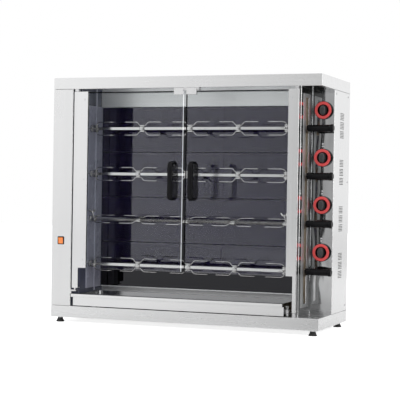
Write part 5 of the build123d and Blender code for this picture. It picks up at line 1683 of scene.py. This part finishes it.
    def lamp(self, name: str, place: Array, aim: Array, size: float, power: float, mirrored: bool) -> None:
        """Adds one soft lamp.

        Args:
            name: the lamp's name.
            place: where it hangs.
            aim: the point that it faces.
            size: side of its square.
            power: watts.
            mirrored: whether polished surfaces show it.
        """
        light = bpy.data.lights.new(name, "AREA")
        light.shape = "SQUARE"
        light.size = size
        light.energy = power
        lamp = bpy.data.objects.new(name, light)
        lamp.matrix_world = looking(np.array(place, float), np.array(aim, float))
        lamp.visible_glossy = mirrored
        lamp.visible_transmission = False
        bpy.context.scene.collection.objects.link(lamp)

    def lamps(self) -> None:
        """Two soft boxes in front, one above, and one behind for the other views."""
        middle = np.array((0.0, 0.0, 0.5))
        self.lamp("soft_front_left", (-2.6, -3.2, 2.2), middle, 2.2, self.lamp_power, False)
        self.lamp("soft_front_right", (3.0, -2.6, 1.6), middle, 2.0, 0.8 * self.lamp_power, False)
        self.lamp("soft_top", (0.2, -0.6, 3.2), middle, 2.4, 0.7 * self.lamp_power, False)
        self.lamp("soft_back", (0.6, 3.4, 2.0), middle, 2.2, 0.6 * self.lamp_power, False)

    def camera(self) -> None:
        """Camera whose axes follow from yaw, pitch and roll.

        Forward is (-sin yaw cos pitch, cos yaw cos pitch, sin pitch); right is level before it is
        rolled towards up, and up is right x forward.
        """
        yaw, pitch, roll = (math.radians(angle) for angle in (self.yaw, self.pitch, self.roll))
        ahead = np.array((-math.sin(yaw) * math.cos(pitch), math.cos(yaw) * math.cos(pitch), math.sin(pitch)))
        level = np.array((math.cos(yaw), math.sin(yaw), 0.0))
        upright = np.cross(level, ahead)
        right = level * math.cos(roll) + upright * math.sin(roll)
        up = upright * math.cos(roll) - level * math.sin(roll)
        data = bpy.data.cameras.new("camera")
        data.sensor_width = self.sensor
        data.lens = self.focal_pixels / self.frame_pixels * self.sensor
        data.clip_start, data.clip_end = 0.1, 60.0
        camera = bpy.data.objects.new("camera", data)
        axes = np.eye(4)
        axes[:3, 0], axes[:3, 1], axes[:3, 2], axes[:3, 3] = right, up, -ahead, self.camera_place
        camera.matrix_world = Matrix(axes.tolist())
        bpy.context.scene.collection.objects.link(camera)
        bpy.context.scene.camera = camera


def looking(place: Array, aim: Array) -> Matrix:
    """Matrix of an object at a place whose -Z axis points at an aim."""
    back = unit(place - aim)
    side = unit(np.cross((0.0, 0.0, 1.0), back))
    axes = np.eye(4)
    axes[:3, 0], axes[:3, 1], axes[:3, 2], axes[:3, 3] = side, np.cross(back, side), back, place
    return Matrix(axes.tolist())


# Degrees by which each spit is turned at rest, from the lowest upwards
SPIT_TURNS = (0.0, -55.0, 0.0, 0.0)


def main() -> None:
    """Builds the classes in order."""
    logging.basicConfig(level=logging.INFO, format="%(message)s")
    Cabinet().build()
    CookingSpace().build()
    Drive().build()
    for level, turn in enumerate(SPIT_TURNS, start=1):
        Spit(level, turn).build()
    for side in Side:
        Door(side).build()
    Drawer().build()
    Controls().build()
    Studio().build()


if __name__ == "__main__":
    main()
